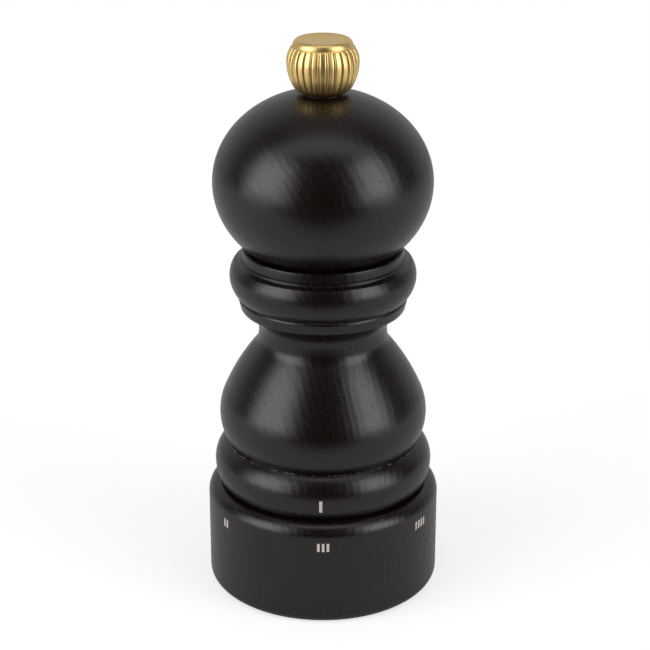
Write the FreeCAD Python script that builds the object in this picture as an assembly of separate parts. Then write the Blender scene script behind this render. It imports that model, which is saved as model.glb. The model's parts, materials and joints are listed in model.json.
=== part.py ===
import FreeCAD, Part
import math
import os
from collections import namedtuple

# Pepper mill: a turned wooden body and head, a brass knob on a square shaft, and a base ring
# that raises and lowers the outer burr to set the grind.
# Millimetres and degrees, +Z up, origin at the middle of the foot, front towards -Y.

# Clearances
RUN_CLEARANCE = 0.05
THREAD_CLEARANCE = 0.1
SLIDE_CLEARANCE = 0.15
LOOSE_CLEARANCE = 0.3
FACE_GAP = 0.1
ANGLE_MARGIN = 1.0

# Burrs
INNER_BURR_RADIUS = 8.4
INNER_BURR_HEIGHT = 12.6
INNER_BURR_TOP_WALL = 1.3
BURR_WALL = 2.6
GRIND_GAP = 0.35
OUTER_BURR_DROP = 1.2
FINISHING_HEIGHT = 5.0
FEED_HEIGHT = 5.6
FEED_RIM = 1.1
BURR_FLOOR = 4.4
COARSE_GROOVES = 8
COARSE_GROOVE_RADIUS = 0.9
COARSE_GROOVE_LIFT = 0.45
FINE_GROOVES = 24
FINE_GROOVE_RADIUS = 0.35
FINE_GROOVE_LIFT = 0.14
GROOVE_SKEW = 20.0

# Burr carrier, its spring and its nut
CARRIER_LIP = 0.6
CARRIER_LIP_WIDTH = 0.8
CARRIER_HEIGHT = 6.4
CARRIER_SKIRT = 1.3
TONGUE_THICKNESS = 1.85
TONGUE_WIDTH = 5.0
TONGUE_HEIGHT = 11.0
TONGUE_COUNT = 3
TONGUE_ANGLE = 30.0
SPRING_WIRE = 0.9
SPRING_PITCH = 2.2
NUT_RECESS = 1.0
NUT_FLANGE = 1.8
NUT_FLANGE_WIDTH = 2.85
NUT_RISE = 0.4

# Sleeve and base ring
SLEEVE_WALL = 3.75
SLEEVE_BORE_GAP = 0.6
SLEEVE_LEDGE = 1.5
SLEEVE_BARREL = 8.2
FLANGE_THICKNESS = 1.8
FLANGE_WIDTH = 3.5
RETAINER_GAP = 0.6
RETAINER_THICKNESS = 1.5
RETAINER_LIP = 1.1
THRUST_WASHER = 0.4
LINER_WALL = 1.45
LINER_SETBACK = 0.2
RING_WALL = 6.0
RING_HEIGHT = 22.2
RING_LIP = 0.8
RING_SHOULDER = 3.0
RING_FOOT_ROUND = 2.0

# Click stop of the base ring
SETTING_COUNT = 6
SETTING_STEP = 56.0
SETTING_AT_REST = 3
CLICK_ANGLE = 150.0
CLICK_SPREAD = 18.0
CLICK_LEAF = 0.4
CLICK_HEIGHT = 4.0
CLICK_POCKET_DEPTH = 1.0
CLICK_NIB = 0.9
CLICK_DEPTH = 0.55
STOP_ANGLE = 90.0
STOP_SPREAD = 7.0
STOP_HEIGHT = 2.0
STOP_WIDTH = 0.7

# Shaft and its bearing
SHAFT_SQUARE = 5.0
SHAFT_TIP_CHAMFER = 0.6
JOURNAL_RADIUS = 3.0
SHAFT_COLLAR_WIDTH = 1.2
SHAFT_COLLAR_HEIGHT = 1.4
CLIP_GROOVE = 0.55
CLIP_THICKNESS = 0.7
CLIP_WIDTH = 2.5
CLIP_MOUTH = 4.4
BUSH_WALL = 0.95
BUSH_FLANGE = 0.8
BUSH_FLANGE_WIDTH = 1.0
BUSH_TAIL = 1.5
BRIDGE_THICKNESS = 1.5
BRIDGE_HUB_WALL = 1.0
BRIDGE_ARMS = 3
BRIDGE_ARM_WIDTH = 3.0
BRIDGE_ARM_ANGLE = 90.0
BURR_NUT_FLATS = 7.0
BURR_NUT_HEIGHT = 2.4
BURR_NUT_CORE = 2.0
BURR_WASHER = 0.5
BURR_WASHER_MARGIN = 0.36

# Turned outline of the body, from its bottom edge to its rim
CHAMBER_RADIUS = 9.6
BEAD_WALL = 5.9
BEAD_ARC = 5.8
BEAD_RISE = 3.5
BEAD_HEIGHT = 8.5
QUIRK = 0.45
BELLY_WALL = 4.7
BELLY_ARC = 12.0
BELLY_RISE = 6.1
NECK_WALL = 4.0
NECK_ARC = 7.0
BELLY_TO_NECK = 20.0
COVE_HEIGHT = 3.8
COVE_LEAN_OUT = 0.22
COVE_LEAN_UP = 0.62
BAND_WALL = 8.25
BAND_HEIGHT = 3.2
BAND_TAPER = 0.35
BAND_EDGE = 1.1
COLLAR_WALL = 10.05
COLLAR_RISE = 4.1
COLLAR_HEIGHT = 7.5
COLLAR_ARC = 5.2
RIM_WALL = 7.3
RIM_BEVEL = 0.4
RIM_HEIGHT = 2.5

# Head, its drive plate and its bush
HEAD_RADIUS = 22.85
HEAD_FOOT_RADIUS = 16.0
HEAD_LOWER_AXIS = 19.6
HEAD_UPPER_AXIS = 19.2
HEAD_FLAT_MARGIN = 1.6
TENON_LENGTH = 5.8
DRIVE_PLATE = 1.5
DRIVE_PLATE_INSET = 1.0
HEAD_BUSH_LENGTH = 5.9
HEAD_BUSH_WALL = 1.6

# Knob
KNOB_WASHER = 0.4
KNOB_WASHER_WIDTH = 1.4
KNOB_HEIGHT = 10.8
KNOB_RADIUS = 7.4
KNOB_BASE_RADIUS = 4.2
KNOB_TOP_RADIUS = 4.9
KNOB_WAIST = 6.2
KNOB_FOOT_HEIGHT = 1.6
KNOB_FOOT_INSET = 0.98
KNOB_RIM_HEIGHT = 1.7
KNOB_RIM_INSET = 0.8
KNOB_ROUND_OUT = 0.667
KNOB_ROUND_UP = 0.333
KNOB_CAP = 3.5
KNOB_RIBS = 28
RIB_GROOVE_RADIUS = 0.42
RIB_GROOVE_DEPTH = 0.3

# Screws
SMALL_SCREW_SHANK = 0.7
SMALL_SCREW_HEAD = 1.3
SMALL_SCREW_HEAD_HEIGHT = 0.9
SMALL_SCREW_LENGTH = 6.0
SLEEVE_SCREW_SHANK = 0.8
SLEEVE_SCREW_HEAD = 1.4
SLEEVE_SCREW_HEAD_HEIGHT = 1.0
SLEEVE_SCREW_LENGTH = 8.0
SCREW_RECESS_WIDTH = 0.35
SCREW_RECESS_DEPTH = 0.55
SCREW_RECESS_SPAN = 0.7
SCREW_COUNT = 3
SCREW_ANGLE = 30.0
DRIVE_SCREW_COUNT = 2
DRIVE_SCREW_ANGLE = 45.0

AXIS = FreeCAD.Vector(0, 0, 1)
Screw = namedtuple("Screw", "shank head head_height length")
small_screw = Screw(SMALL_SCREW_SHANK, SMALL_SCREW_HEAD, SMALL_SCREW_HEAD_HEIGHT, SMALL_SCREW_LENGTH)
sleeve_screw = Screw(SLEEVE_SCREW_SHANK, SLEEVE_SCREW_HEAD, SLEEVE_SCREW_HEAD_HEIGHT, SLEEVE_SCREW_LENGTH)

# Radii, worked outwards from the shaft
tip_radius = SHAFT_SQUARE / 2 - FACE_GAP
head_bore = SHAFT_SQUARE / math.sqrt(2) + LOOSE_CLEARANCE
burr_square = JOURNAL_RADIUS * math.sqrt(2) - FACE_GAP
burr_nut_corner = BURR_NUT_FLATS / math.sqrt(3)
burr_washer_radius = burr_nut_corner + BURR_WASHER_MARGIN
shaft_collar_radius = JOURNAL_RADIUS + SHAFT_COLLAR_WIDTH
bush_bore = JOURNAL_RADIUS + RUN_CLEARANCE
bush_radius = bush_bore + BUSH_WALL
hub_radius = bush_radius + BRIDGE_HUB_WALL
clip_bore = JOURNAL_RADIUS - CLIP_GROOVE
inner_burr_top_radius = JOURNAL_RADIUS + INNER_BURR_TOP_WALL
burr_slope = (INNER_BURR_RADIUS - inner_burr_top_radius) / INNER_BURR_HEIGHT
radial_gap = GRIND_GAP * math.hypot(1, burr_slope)
outer_burr_radius = INNER_BURR_RADIUS + BURR_WALL
sleeve_bore = outer_burr_radius + SLEEVE_BORE_GAP
ledge_bore = outer_burr_radius - FEED_RIM
spring_radius = (sleeve_bore + ledge_bore) / 2
tongue_inner = sleeve_bore + SLIDE_CLEARANCE
tongue_outer = tongue_inner + TONGUE_THICKNESS
slot_radius = tongue_outer + SLIDE_CLEARANCE
carrier_radius = tongue_outer + CARRIER_SKIRT
nut_bore = carrier_radius + THREAD_CLEARANCE
sleeve_radius = slot_radius + SLEEVE_WALL
flange_radius = sleeve_radius + FLANGE_WIDTH
liner_bore = sleeve_radius + RUN_CLEARANCE
liner_radius = liner_bore + LINER_WALL
retainer_bore = tongue_outer + LOOSE_CLEARANCE
retainer_radius = sleeve_radius + RETAINER_LIP
retainer_screw_circle = (slot_radius + sleeve_radius) / 2
retainer_screw_angle = TONGUE_ANGLE + 180.0 / TONGUE_COUNT
sleeve_screw_circle = sleeve_radius + FLANGE_WIDTH / 2
nut_flange_radius = liner_radius + NUT_FLANGE_WIDTH
nut_screw_circle = liner_radius + NUT_FLANGE_WIDTH / 2
ring_radius = liner_radius + RING_WALL
tenon_radius = CHAMBER_RADIUS - LOOSE_CLEARANCE
drive_plate_radius = tenon_radius - DRIVE_PLATE_INSET
drive_screw_circle = (head_bore + drive_plate_radius) / 2
head_bush_bore = tip_radius + FACE_GAP
head_bush_radius = head_bush_bore + HEAD_BUSH_WALL
head_flat_radius = head_bush_radius + HEAD_FLAT_MARGIN

# Heights, worked up from the foot
carrier_floor = BURR_FLOOR - OUTER_BURR_DROP - CARRIER_LIP
carrier_top = carrier_floor + CARRIER_HEIGHT
outer_burr_floor = BURR_FLOOR - OUTER_BURR_DROP
finishing_top = BURR_FLOOR + FINISHING_HEIGHT
fine_end = finishing_top - FINE_GROOVE_RADIUS
coarse_end = finishing_top + COARSE_GROOVE_RADIUS
outer_burr_top = finishing_top + FEED_HEIGHT
inner_burr_top = BURR_FLOOR + INNER_BURR_HEIGHT
burr_seat = BURR_FLOOR + BURR_NUT_HEIGHT + BURR_WASHER + LOOSE_CLEARANCE
nut_flange_top = NUT_RECESS + NUT_FLANGE
nut_top = carrier_top + NUT_RISE
retainer_floor = nut_top + RETAINER_GAP
sleeve_floor = retainer_floor + RETAINER_THICKNESS
liner_floor = sleeve_floor + FACE_GAP
liner_top = RING_HEIGHT - LINER_SETBACK
washer_floor = liner_top + FACE_GAP
flange_floor = washer_floor + THRUST_WASHER
body_floor = flange_floor + FLANGE_THICKNESS
ledge = flange_floor + SLEEVE_LEDGE
bridge_floor = body_floor + SLEEVE_BARREL
bridge_top = bridge_floor + BRIDGE_THICKNESS
bush_top = bridge_top + BUSH_FLANGE
bush_floor = bridge_floor - BUSH_TAIL
shaft_collar_floor = bush_top + RUN_CLEARANCE
shaft_collar_top = shaft_collar_floor + SHAFT_COLLAR_HEIGHT
clip_top = bush_floor - FACE_GAP
clip_floor = clip_top - CLIP_THICKNESS
bead_top = body_floor + BEAD_HEIGHT
belly_height = bead_top + BELLY_RISE
neck_height = belly_height + BELLY_TO_NECK
band_floor = neck_height + COVE_HEIGHT
band_top = band_floor + BAND_HEIGHT
collar_top = band_top + COLLAR_HEIGHT
body_top = collar_top + RIM_HEIGHT
head_floor = body_top + LOOSE_CLEARANCE
head_middle = head_floor + HEAD_LOWER_AXIS * math.sqrt(1 - (HEAD_FOOT_RADIUS / HEAD_RADIUS) ** 2)
head_top = head_middle + HEAD_UPPER_AXIS * math.sqrt(1 - (head_flat_radius / HEAD_RADIUS) ** 2)
tenon_floor = head_floor - TENON_LENGTH
drive_plate_floor = tenon_floor - DRIVE_PLATE
shaft_shoulder = head_top - HEAD_BUSH_LENGTH
knob_floor = head_top + KNOB_WASHER
knob_top = knob_floor + KNOB_HEIGHT
shaft_top = knob_top - KNOB_CAP - FACE_GAP


class Outline:
    """A closed half-section in the XZ plane, drawn from point to point and turned about Z."""

    def __init__(self, radius, height):
        self.pen = FreeCAD.Vector(radius, 0, height)
        self.start = self.pen
        self.edges = []

    def line(self, radius, height):
        tip = FreeCAD.Vector(radius, 0, height)
        self.edges.append(Part.makeLine(self.pen, tip))
        self.pen = tip
        return self

    def arc(self, centre_radius, centre_height, radius, height):
        """The shorter arc about a centre, from the pen to a point."""
        centre = FreeCAD.Vector(centre_radius, 0, centre_height)
        tip = FreeCAD.Vector(radius, 0, height)
        chord_middle = (self.pen + tip) * 0.5
        reach = (self.pen - centre).Length
        middle = centre + (chord_middle - centre).normalize() * reach
        self.edges.append(Part.Arc(self.pen, middle, tip).toShape())
        self.pen = tip
        return self

    def through(self, middle_radius, middle_height, radius, height):
        """An arc from the pen through one point to another."""
        middle = FreeCAD.Vector(middle_radius, 0, middle_height)
        tip = FreeCAD.Vector(radius, 0, height)
        self.edges.append(Part.Arc(self.pen, middle, tip).toShape())
        self.pen = tip
        return self

    def quarter_ellipse(self, centre_height, wide, tall, radius, height):
        """A stretch of an ellipse about the Z axis, from the pen to a point on it."""
        tip = FreeCAD.Vector(radius, 0, height)
        if wide >= abs(tall):
            ends = (FreeCAD.Vector(wide, 0, centre_height), FreeCAD.Vector(0, 0, centre_height + tall))
        else:
            ends = (FreeCAD.Vector(0, 0, centre_height + tall), FreeCAD.Vector(wide, 0, centre_height))
        curve = Part.Ellipse(ends[0], ends[1], FreeCAD.Vector(0, 0, centre_height))
        first = curve.parameter(self.pen)
        last = curve.parameter(tip)
        if last < first:
            first, last = last, first
        self.edges.append(curve.toShape(first, last))
        self.pen = tip
        return self

    def solid(self, sweep=360.0):
        self.line(self.start.x, self.start.z)
        wire = Part.Wire(Part.__sortEdges__(self.edges))
        return Part.Face(wire).revolve(FreeCAD.Vector(), AXIS, sweep)


def tube(inner, outer, floor, top):
    """A plain ring between two radii and two heights."""
    body = Part.makeCylinder(outer, top - floor, FreeCAD.Vector(0, 0, floor))
    bore = Part.makeCylinder(inner, top - floor, FreeCAD.Vector(0, 0, floor))
    return body.cut(bore)


def sector(inner, outer, floor, top, middle, half):
    """A piece of such a ring, between two angles about its middle direction."""
    piece = Outline(inner, floor).line(outer, floor).line(outer, top).line(inner, top).solid(2 * half)
    piece.rotate(FreeCAD.Vector(), AXIS, middle - half)
    return piece


def square_bar(width, floor, top):
    """A square bar on the Z axis."""
    return Part.makeBox(width, width, top - floor, FreeCAD.Vector(-width / 2, -width / 2, floor))


def around(shape, count, first=0.0, step=None):
    """Copies of a shape, evenly spread about Z unless a step is given."""
    step = 360.0 / count if step is None else step
    copies = []
    for index in range(count):
        copy = shape.copy()
        copy.rotate(FreeCAD.Vector(), AXIS, first + index * step)
        copies.append(copy)
    return copies


def screw_blank(sizes, circle, floor):
    """A countersunk screw, head down, standing on a bolt circle in the X direction."""
    shape = Outline(0, 0).line(sizes.head, 0).line(sizes.shank, sizes.head_height)
    shape = shape.line(sizes.shank, sizes.length - sizes.shank).line(0, sizes.length).solid()
    shape.translate(FreeCAD.Vector(circle, 0, floor))
    return shape


def screw(sizes, circle, floor):
    """The same screw with a cross recess in its head."""
    shape = screw_blank(sizes, circle, floor)
    span = 2 * SCREW_RECESS_SPAN * sizes.head
    for long, wide in ((span, SCREW_RECESS_WIDTH), (SCREW_RECESS_WIDTH, span)):
        corner = FreeCAD.Vector(circle - long / 2, -wide / 2, floor)
        shape = shape.cut(Part.makeBox(long, wide, SCREW_RECESS_DEPTH, corner))
    return shape


def sleeve_screws(make=screw):
    return around(make(sleeve_screw, sleeve_screw_circle, flange_floor), SCREW_COUNT, SCREW_ANGLE)


def nut_screws(make=screw):
    return around(make(small_screw, nut_screw_circle, NUT_RECESS), SCREW_COUNT, SCREW_ANGLE)


def retainer_screws(make=screw):
    first = make(small_screw, retainer_screw_circle, retainer_floor)
    return around(first, TONGUE_COUNT, retainer_screw_angle)


def drive_screws(make=screw):
    first = make(small_screw, drive_screw_circle, drive_plate_floor)
    return around(first, DRIVE_SCREW_COUNT, DRIVE_SCREW_ANGLE)


def setting_ring():
    """Wooden base ring: rounded shoulder, lip round the sleeve's flange, recess for the adjusting nut."""
    recess = nut_flange_radius + RUN_CLEARANCE
    lip = flange_radius + LOOSE_CLEARANCE
    lip_top = RING_HEIGHT + RING_LIP
    shoulder = lip_top - RING_SHOULDER
    shape = Outline(recess, 0).line(ring_radius - RING_FOOT_ROUND, 0)
    shape.arc(ring_radius - RING_FOOT_ROUND, RING_FOOT_ROUND, ring_radius, RING_FOOT_ROUND)
    shape.line(ring_radius, shoulder)
    shape.arc(ring_radius - RING_SHOULDER, shoulder, ring_radius - RING_SHOULDER, lip_top)
    shape.line(lip, lip_top).line(lip, RING_HEIGHT)
    shape.line(liner_radius, RING_HEIGHT).line(liner_radius, nut_flange_top)
    shape.line(recess, nut_flange_top)
    return shape.solid().cut(nut_screws(screw_blank))


def adjusting_nut():
    """Threaded ring, shown at the thread's pitch surface, in the bottom of the base ring."""
    body_radius = liner_radius - RUN_CLEARANCE
    shape = Outline(nut_bore, NUT_RECESS).line(nut_flange_radius, NUT_RECESS)
    shape.line(nut_flange_radius, nut_flange_top).line(body_radius, nut_flange_top)
    shape.line(body_radius, nut_top).line(nut_bore, nut_top)
    return shape.solid().cut(nut_screws(screw_blank))


def ring_liner():
    """Bearing liner with six click notches and a stop track along its lower edge."""
    shape = tube(liner_bore, liner_radius, liner_floor, liner_top)
    nib = Part.makeCylinder(CLICK_NIB + FACE_GAP, liner_top - liner_floor)
    nib.translate(FreeCAD.Vector(liner_bore + CLICK_DEPTH - CLICK_NIB, 0, liner_floor))
    first = CLICK_ANGLE + (1 - SETTING_AT_REST) * SETTING_STEP
    notches = around(nib, SETTING_COUNT, first, SETTING_STEP)
    towards_coarse = (SETTING_COUNT - SETTING_AT_REST) * SETTING_STEP
    towards_fine = (SETTING_AT_REST - 1) * SETTING_STEP
    half_track = (towards_coarse + towards_fine) / 2 + STOP_SPREAD + ANGLE_MARGIN
    middle = STOP_ANGLE + (towards_coarse - towards_fine) / 2
    track_radius = liner_bore + STOP_WIDTH + LOOSE_CLEARANCE
    track_top = sleeve_floor + STOP_HEIGHT + LOOSE_CLEARANCE
    track = sector(sleeve_bore, track_radius, retainer_floor, track_top, middle, half_track)
    return shape.cut(notches + [track])


def ring_retainer():
    """Plate under the sleeve that carries the ring, with the stop lug that ends its travel."""
    shape = tube(retainer_bore, retainer_radius, retainer_floor, sleeve_floor)
    lug_inner = liner_bore + RUN_CLEARANCE
    lug = sector(lug_inner, lug_inner + STOP_WIDTH, retainer_floor, sleeve_floor + STOP_HEIGHT,
                 STOP_ANGLE, STOP_SPREAD)
    return shape.fuse(lug).removeSplitter().cut(retainer_screws(screw_blank))


def mechanism_sleeve():
    """Sleeve fixed in the body: barrel, flange, journal of the ring, slots of the carrier."""
    shape = Outline(sleeve_bore, sleeve_floor).line(sleeve_radius, sleeve_floor)
    shape.line(sleeve_radius, flange_floor).line(flange_radius, flange_floor)
    shape.line(flange_radius, body_floor).line(sleeve_radius, body_floor)
    shape.line(sleeve_radius, bridge_floor).line(sleeve_bore, bridge_floor)
    shape.line(ledge_bore, ledge).line(sleeve_bore, ledge)
    slot_width = TONGUE_WIDTH + 2 * SLIDE_CLEARANCE
    slot_top = carrier_top + TONGUE_HEIGHT + RETAINER_GAP + LOOSE_CLEARANCE
    slot = Part.makeBox(slot_radius, slot_width, slot_top - sleeve_floor,
                        FreeCAD.Vector(0, -slot_width / 2, sleeve_floor))
    slot = slot.common(Part.makeCylinder(slot_radius, slot_top))
    slot = slot.cut(Part.makeCylinder(sleeve_bore - FACE_GAP, slot_top))
    pocket_floor, pocket_top = click_heights(LOOSE_CLEARANCE)
    pocket = sector(sleeve_radius - CLICK_POCKET_DEPTH, liner_bore, pocket_floor, pocket_top,
                    CLICK_ANGLE, CLICK_SPREAD + ANGLE_MARGIN)
    cuts = around(slot, TONGUE_COUNT, TONGUE_ANGLE) + [pocket]
    return shape.solid().cut(cuts + sleeve_screws(screw_blank) + retainer_screws(screw_blank))


def click_heights(spare):
    """Lower and upper edge of the click spring, or of its pocket with some room to spare."""
    middle = (liner_floor + STOP_HEIGHT + liner_top) / 2
    half = CLICK_HEIGHT / 2 + spare
    return middle - half, middle + half


def click_spring():
    """Leaf spring with a round nib that sits in one notch of the liner."""
    floor, top = click_heights(0)
    leaf_inner = sleeve_radius - CLICK_POCKET_DEPTH
    leaf = sector(leaf_inner, leaf_inner + CLICK_LEAF, floor, top, CLICK_ANGLE, CLICK_SPREAD)
    nib = Part.makeCylinder(CLICK_NIB, top - floor)
    nib.translate(FreeCAD.Vector(liner_bore + CLICK_DEPTH - CLICK_NIB, 0, floor))
    nib.rotate(FreeCAD.Vector(), AXIS, CLICK_ANGLE)
    nib = nib.cut(Part.makeCylinder(leaf_inner, top))
    return leaf.fuse(nib).removeSplitter()


def burr_carrier():
    """Holder of the outer burr: threaded skirt, inner lip and three guide tongues."""
    shape = Outline(outer_burr_radius - CARRIER_LIP_WIDTH, carrier_floor)
    shape.line(carrier_radius, carrier_floor).line(carrier_radius, carrier_top)
    shape.line(outer_burr_radius, carrier_top).line(outer_burr_radius, outer_burr_floor)
    shape.line(outer_burr_radius - CARRIER_LIP_WIDTH, outer_burr_floor)
    bar = Part.makeBox(tongue_outer, TONGUE_WIDTH, CARRIER_HEIGHT / 2 + TONGUE_HEIGHT,
                       FreeCAD.Vector(0, -TONGUE_WIDTH / 2, carrier_top - CARRIER_HEIGHT / 2))
    bar = bar.common(tube(tongue_inner, tongue_outer, carrier_floor, carrier_top + TONGUE_HEIGHT))
    return shape.solid().fuse(around(bar, TONGUE_COUNT, TONGUE_ANGLE)).removeSplitter()


def cone_groove(radius, open_end, blind_end, skew):
    """A round cutter along a cone, from past an open edge to a rounded blind end, twisted by skew."""
    start = FreeCAD.Vector(open_end[0], 0, open_end[1])
    turn = math.radians(skew)
    end = FreeCAD.Vector(blind_end[0] * math.cos(turn), blind_end[0] * math.sin(turn), blind_end[1])
    along = end - start
    run_out = 2 * radius
    length = along.Length + run_out
    along.normalize()
    bar = Part.makeCylinder(radius, length, start - along * run_out, along)
    return bar.fuse(Part.makeSphere(radius, end))


def inner_burr_radius_at(height):
    return INNER_BURR_RADIUS - burr_slope * (height - BURR_FLOOR)


def inner_burr():
    """Turning cone with coarse breaking grooves above and fine grooves below."""
    shape = Part.makeCone(INNER_BURR_RADIUS, inner_burr_top_radius, INNER_BURR_HEIGHT,
                          FreeCAD.Vector(0, 0, BURR_FLOOR))
    recess = Part.makeCylinder(burr_washer_radius + LOOSE_CLEARANCE, burr_seat - BURR_FLOOR,
                               FreeCAD.Vector(0, 0, BURR_FLOOR))
    bore = square_bar(burr_square + 2 * RUN_CLEARANCE, BURR_FLOOR, inner_burr_top)
    fine = cone_groove(FINE_GROOVE_RADIUS, (INNER_BURR_RADIUS + FINE_GROOVE_LIFT, BURR_FLOOR),
                       (inner_burr_radius_at(fine_end) + FINE_GROOVE_LIFT, fine_end), GROOVE_SKEW / 2)
    coarse = cone_groove(COARSE_GROOVE_RADIUS, (inner_burr_top_radius + COARSE_GROOVE_LIFT, inner_burr_top),
                         (inner_burr_radius_at(coarse_end) + COARSE_GROOVE_LIFT, coarse_end), -GROOVE_SKEW)
    cuts = [recess, bore] + around(fine, FINE_GROOVES) + around(coarse, COARSE_GROOVES)
    return shape.cut(cuts)


def outer_burr():
    """Fixed ring: a finishing cone that follows the inner burr, and a feed funnel above it."""
    floor_radius = inner_burr_radius_at(outer_burr_floor) + radial_gap
    throat = inner_burr_radius_at(finishing_top) + radial_gap
    mouth = outer_burr_radius - FEED_RIM
    shape = Outline(floor_radius, outer_burr_floor).line(outer_burr_radius, outer_burr_floor)
    shape.line(outer_burr_radius, outer_burr_top).line(mouth, outer_burr_top)
    shape.line(throat, finishing_top)
    fine_end_radius = inner_burr_radius_at(fine_end) + radial_gap
    coarse_end_radius = throat + (mouth - throat) * COARSE_GROOVE_RADIUS / FEED_HEIGHT
    fine = cone_groove(FINE_GROOVE_RADIUS, (floor_radius - FINE_GROOVE_LIFT, outer_burr_floor),
                       (fine_end_radius - FINE_GROOVE_LIFT, fine_end), -GROOVE_SKEW / 2)
    coarse = cone_groove(COARSE_GROOVE_RADIUS, (mouth - COARSE_GROOVE_LIFT, outer_burr_top),
                         (coarse_end_radius - COARSE_GROOVE_LIFT, coarse_end), GROOVE_SKEW)
    return shape.solid().cut(around(fine, FINE_GROOVES) + around(coarse, COARSE_GROOVES))


def burr_washer():
    return tube(BURR_NUT_CORE + FACE_GAP, burr_washer_radius, burr_seat - BURR_WASHER, burr_seat)


def burr_nut():
    """Hexagon nut under the inner burr."""
    floor = burr_seat - BURR_WASHER - BURR_NUT_HEIGHT
    sides = 6
    points = []
    for index in range(sides + 1):
        turn = 2 * math.pi * index / sides
        points.append(FreeCAD.Vector(burr_nut_corner * math.cos(turn),
                                     burr_nut_corner * math.sin(turn), floor))
    hexagon = Part.Face(Part.makePolygon(points)).extrude(AXIS * BURR_NUT_HEIGHT)
    return hexagon.cut(Part.makeCylinder(BURR_NUT_CORE, BURR_NUT_HEIGHT, FreeCAD.Vector(0, 0, floor)))


def biarc(start, start_way, end, end_way):
    """Two arcs that leave one point and reach another in given directions."""
    chord = end - start
    ways = start_way + end_way
    spread = 2 * (1 - start_way.dot(end_way))
    pull = chord.dot(ways)
    reach = (math.sqrt(pull * pull + spread * chord.dot(chord)) - pull) / spread
    middle = (start + end + (start_way - end_way) * reach) * 0.5
    arcs = []
    for near, way, far in ((start, start_way, middle), (middle, (end - end_way * reach) - middle, end)):
        half = (far - near) * 0.5
        corner = near + way * (reach / way.Length)
        bend = math.atan2((corner - near - half).Length, half.Length)
        crown = near + half + (corner - near - half) * (math.tan(bend / 2) / math.tan(bend))
        arcs.append(Part.Arc(near, crown, far).toShape())
    return arcs


def burr_spring():
    """Open coil between the outer burr and the ledge in the sleeve."""
    floor = outer_burr_top + SPRING_WIRE / 2 + FACE_GAP
    rise = ledge - FACE_GAP - SPRING_WIRE / 2 - floor
    quarters = int(4 * rise / SPRING_PITCH)
    points = []
    ways = []
    for index in range(quarters + 1):
        turn = math.pi / 2 * index
        points.append(FreeCAD.Vector(spring_radius * math.cos(turn), spring_radius * math.sin(turn),
                                     floor + rise * index / quarters))
        climb = rise / (quarters * math.pi / 2)
        ways.append(FreeCAD.Vector(-spring_radius * math.sin(turn), spring_radius * math.cos(turn),
                                   climb).normalize())
    edges = []
    for index in range(quarters):
        edges += biarc(points[index], ways[index], points[index + 1], ways[index + 1])
    section = Part.Wire(Part.makeCircle(SPRING_WIRE / 2, points[0], ways[0]))
    pipe = Part.BRepOffsetAPI.MakePipeShell(Part.Wire(edges))
    pipe.add(section)
    pipe.build()
    pipe.makeSolid()
    print("burr_spring: %d quarter turns, least gap between turns %.2f mm" % (quarters, least_gap(edges)))
    return pipe.shape()


def least_gap(edges):
    """Least distance between the wires of neighbouring turns, measured on points along the coil."""
    samples = 12
    trail = []
    for edge in edges:
        trail += edge.discretize(samples + 1)[:-1]
    half_turn = 4 * samples
    return min((near - far).Length for index, near in enumerate(trail)
               for far in trail[index + half_turn:]) - SPRING_WIRE


def thrust_washer():
    return tube(liner_bore, liner_radius - FACE_GAP, washer_floor, flange_floor)


def bearing_bridge():
    """Disc over the sleeve with three windows for the peppercorns and a hub for the bush."""
    shape = tube(bush_radius, sleeve_radius - RUN_CLEARANCE, bridge_floor, bridge_top)
    window = tube(hub_radius, CHAMBER_RADIUS, bridge_floor, bridge_top)
    arm = Part.makeBox(CHAMBER_RADIUS, BRIDGE_ARM_WIDTH, BRIDGE_THICKNESS,
                       FreeCAD.Vector(0, -BRIDGE_ARM_WIDTH / 2, bridge_floor))
    return shape.cut(window.cut(around(arm, BRIDGE_ARMS, BRIDGE_ARM_ANGLE)))


def bridge_bush():
    """Flanged bearing bush of the shaft."""
    shape = Outline(bush_bore, bush_floor).line(bush_radius, bush_floor).line(bush_radius, bridge_top)
    shape.line(bush_radius + BUSH_FLANGE_WIDTH, bridge_top)
    shape.line(bush_radius + BUSH_FLANGE_WIDTH, bush_top).line(bush_bore, bush_top)
    return shape.solid()


def retaining_clip():
    """Open spring clip in the groove of the shaft."""
    ring = tube(clip_bore, clip_bore + CLIP_WIDTH, clip_floor, clip_top)
    mouth = Part.makeBox(clip_bore + CLIP_WIDTH, CLIP_MOUTH, CLIP_THICKNESS,
                         FreeCAD.Vector(0, -CLIP_MOUTH / 2, clip_floor))
    return ring.cut(mouth)


def drive_shaft():
    """Square shaft: threaded tip, collar on the bush, journal, square for the burr, threaded end."""
    shape = Part.makeCylinder(BURR_NUT_CORE, burr_seat - BURR_FLOOR, FreeCAD.Vector(0, 0, BURR_FLOOR))
    shape = shape.fuse(square_bar(burr_square, burr_seat, inner_burr_top))
    journal = Outline(0, inner_burr_top).line(JOURNAL_RADIUS, inner_burr_top)
    journal.line(JOURNAL_RADIUS, clip_floor).line(clip_bore, clip_floor)
    journal.line(clip_bore, clip_top).line(JOURNAL_RADIUS, clip_top)
    journal.line(JOURNAL_RADIUS, shaft_collar_floor).line(shaft_collar_radius, shaft_collar_floor)
    journal.line(shaft_collar_radius, shaft_collar_top).line(0, shaft_collar_top)
    shape = shape.fuse(journal.solid())
    shape = shape.fuse(square_bar(SHAFT_SQUARE, shaft_collar_top, shaft_shoulder))
    tip = Outline(0, shaft_shoulder).line(tip_radius, shaft_shoulder)
    tip.line(tip_radius, shaft_top - SHAFT_TIP_CHAMFER)
    tip.line(tip_radius - SHAFT_TIP_CHAMFER, shaft_top).line(0, shaft_top)
    return shape.fuse(tip.solid()).removeSplitter()


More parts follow.
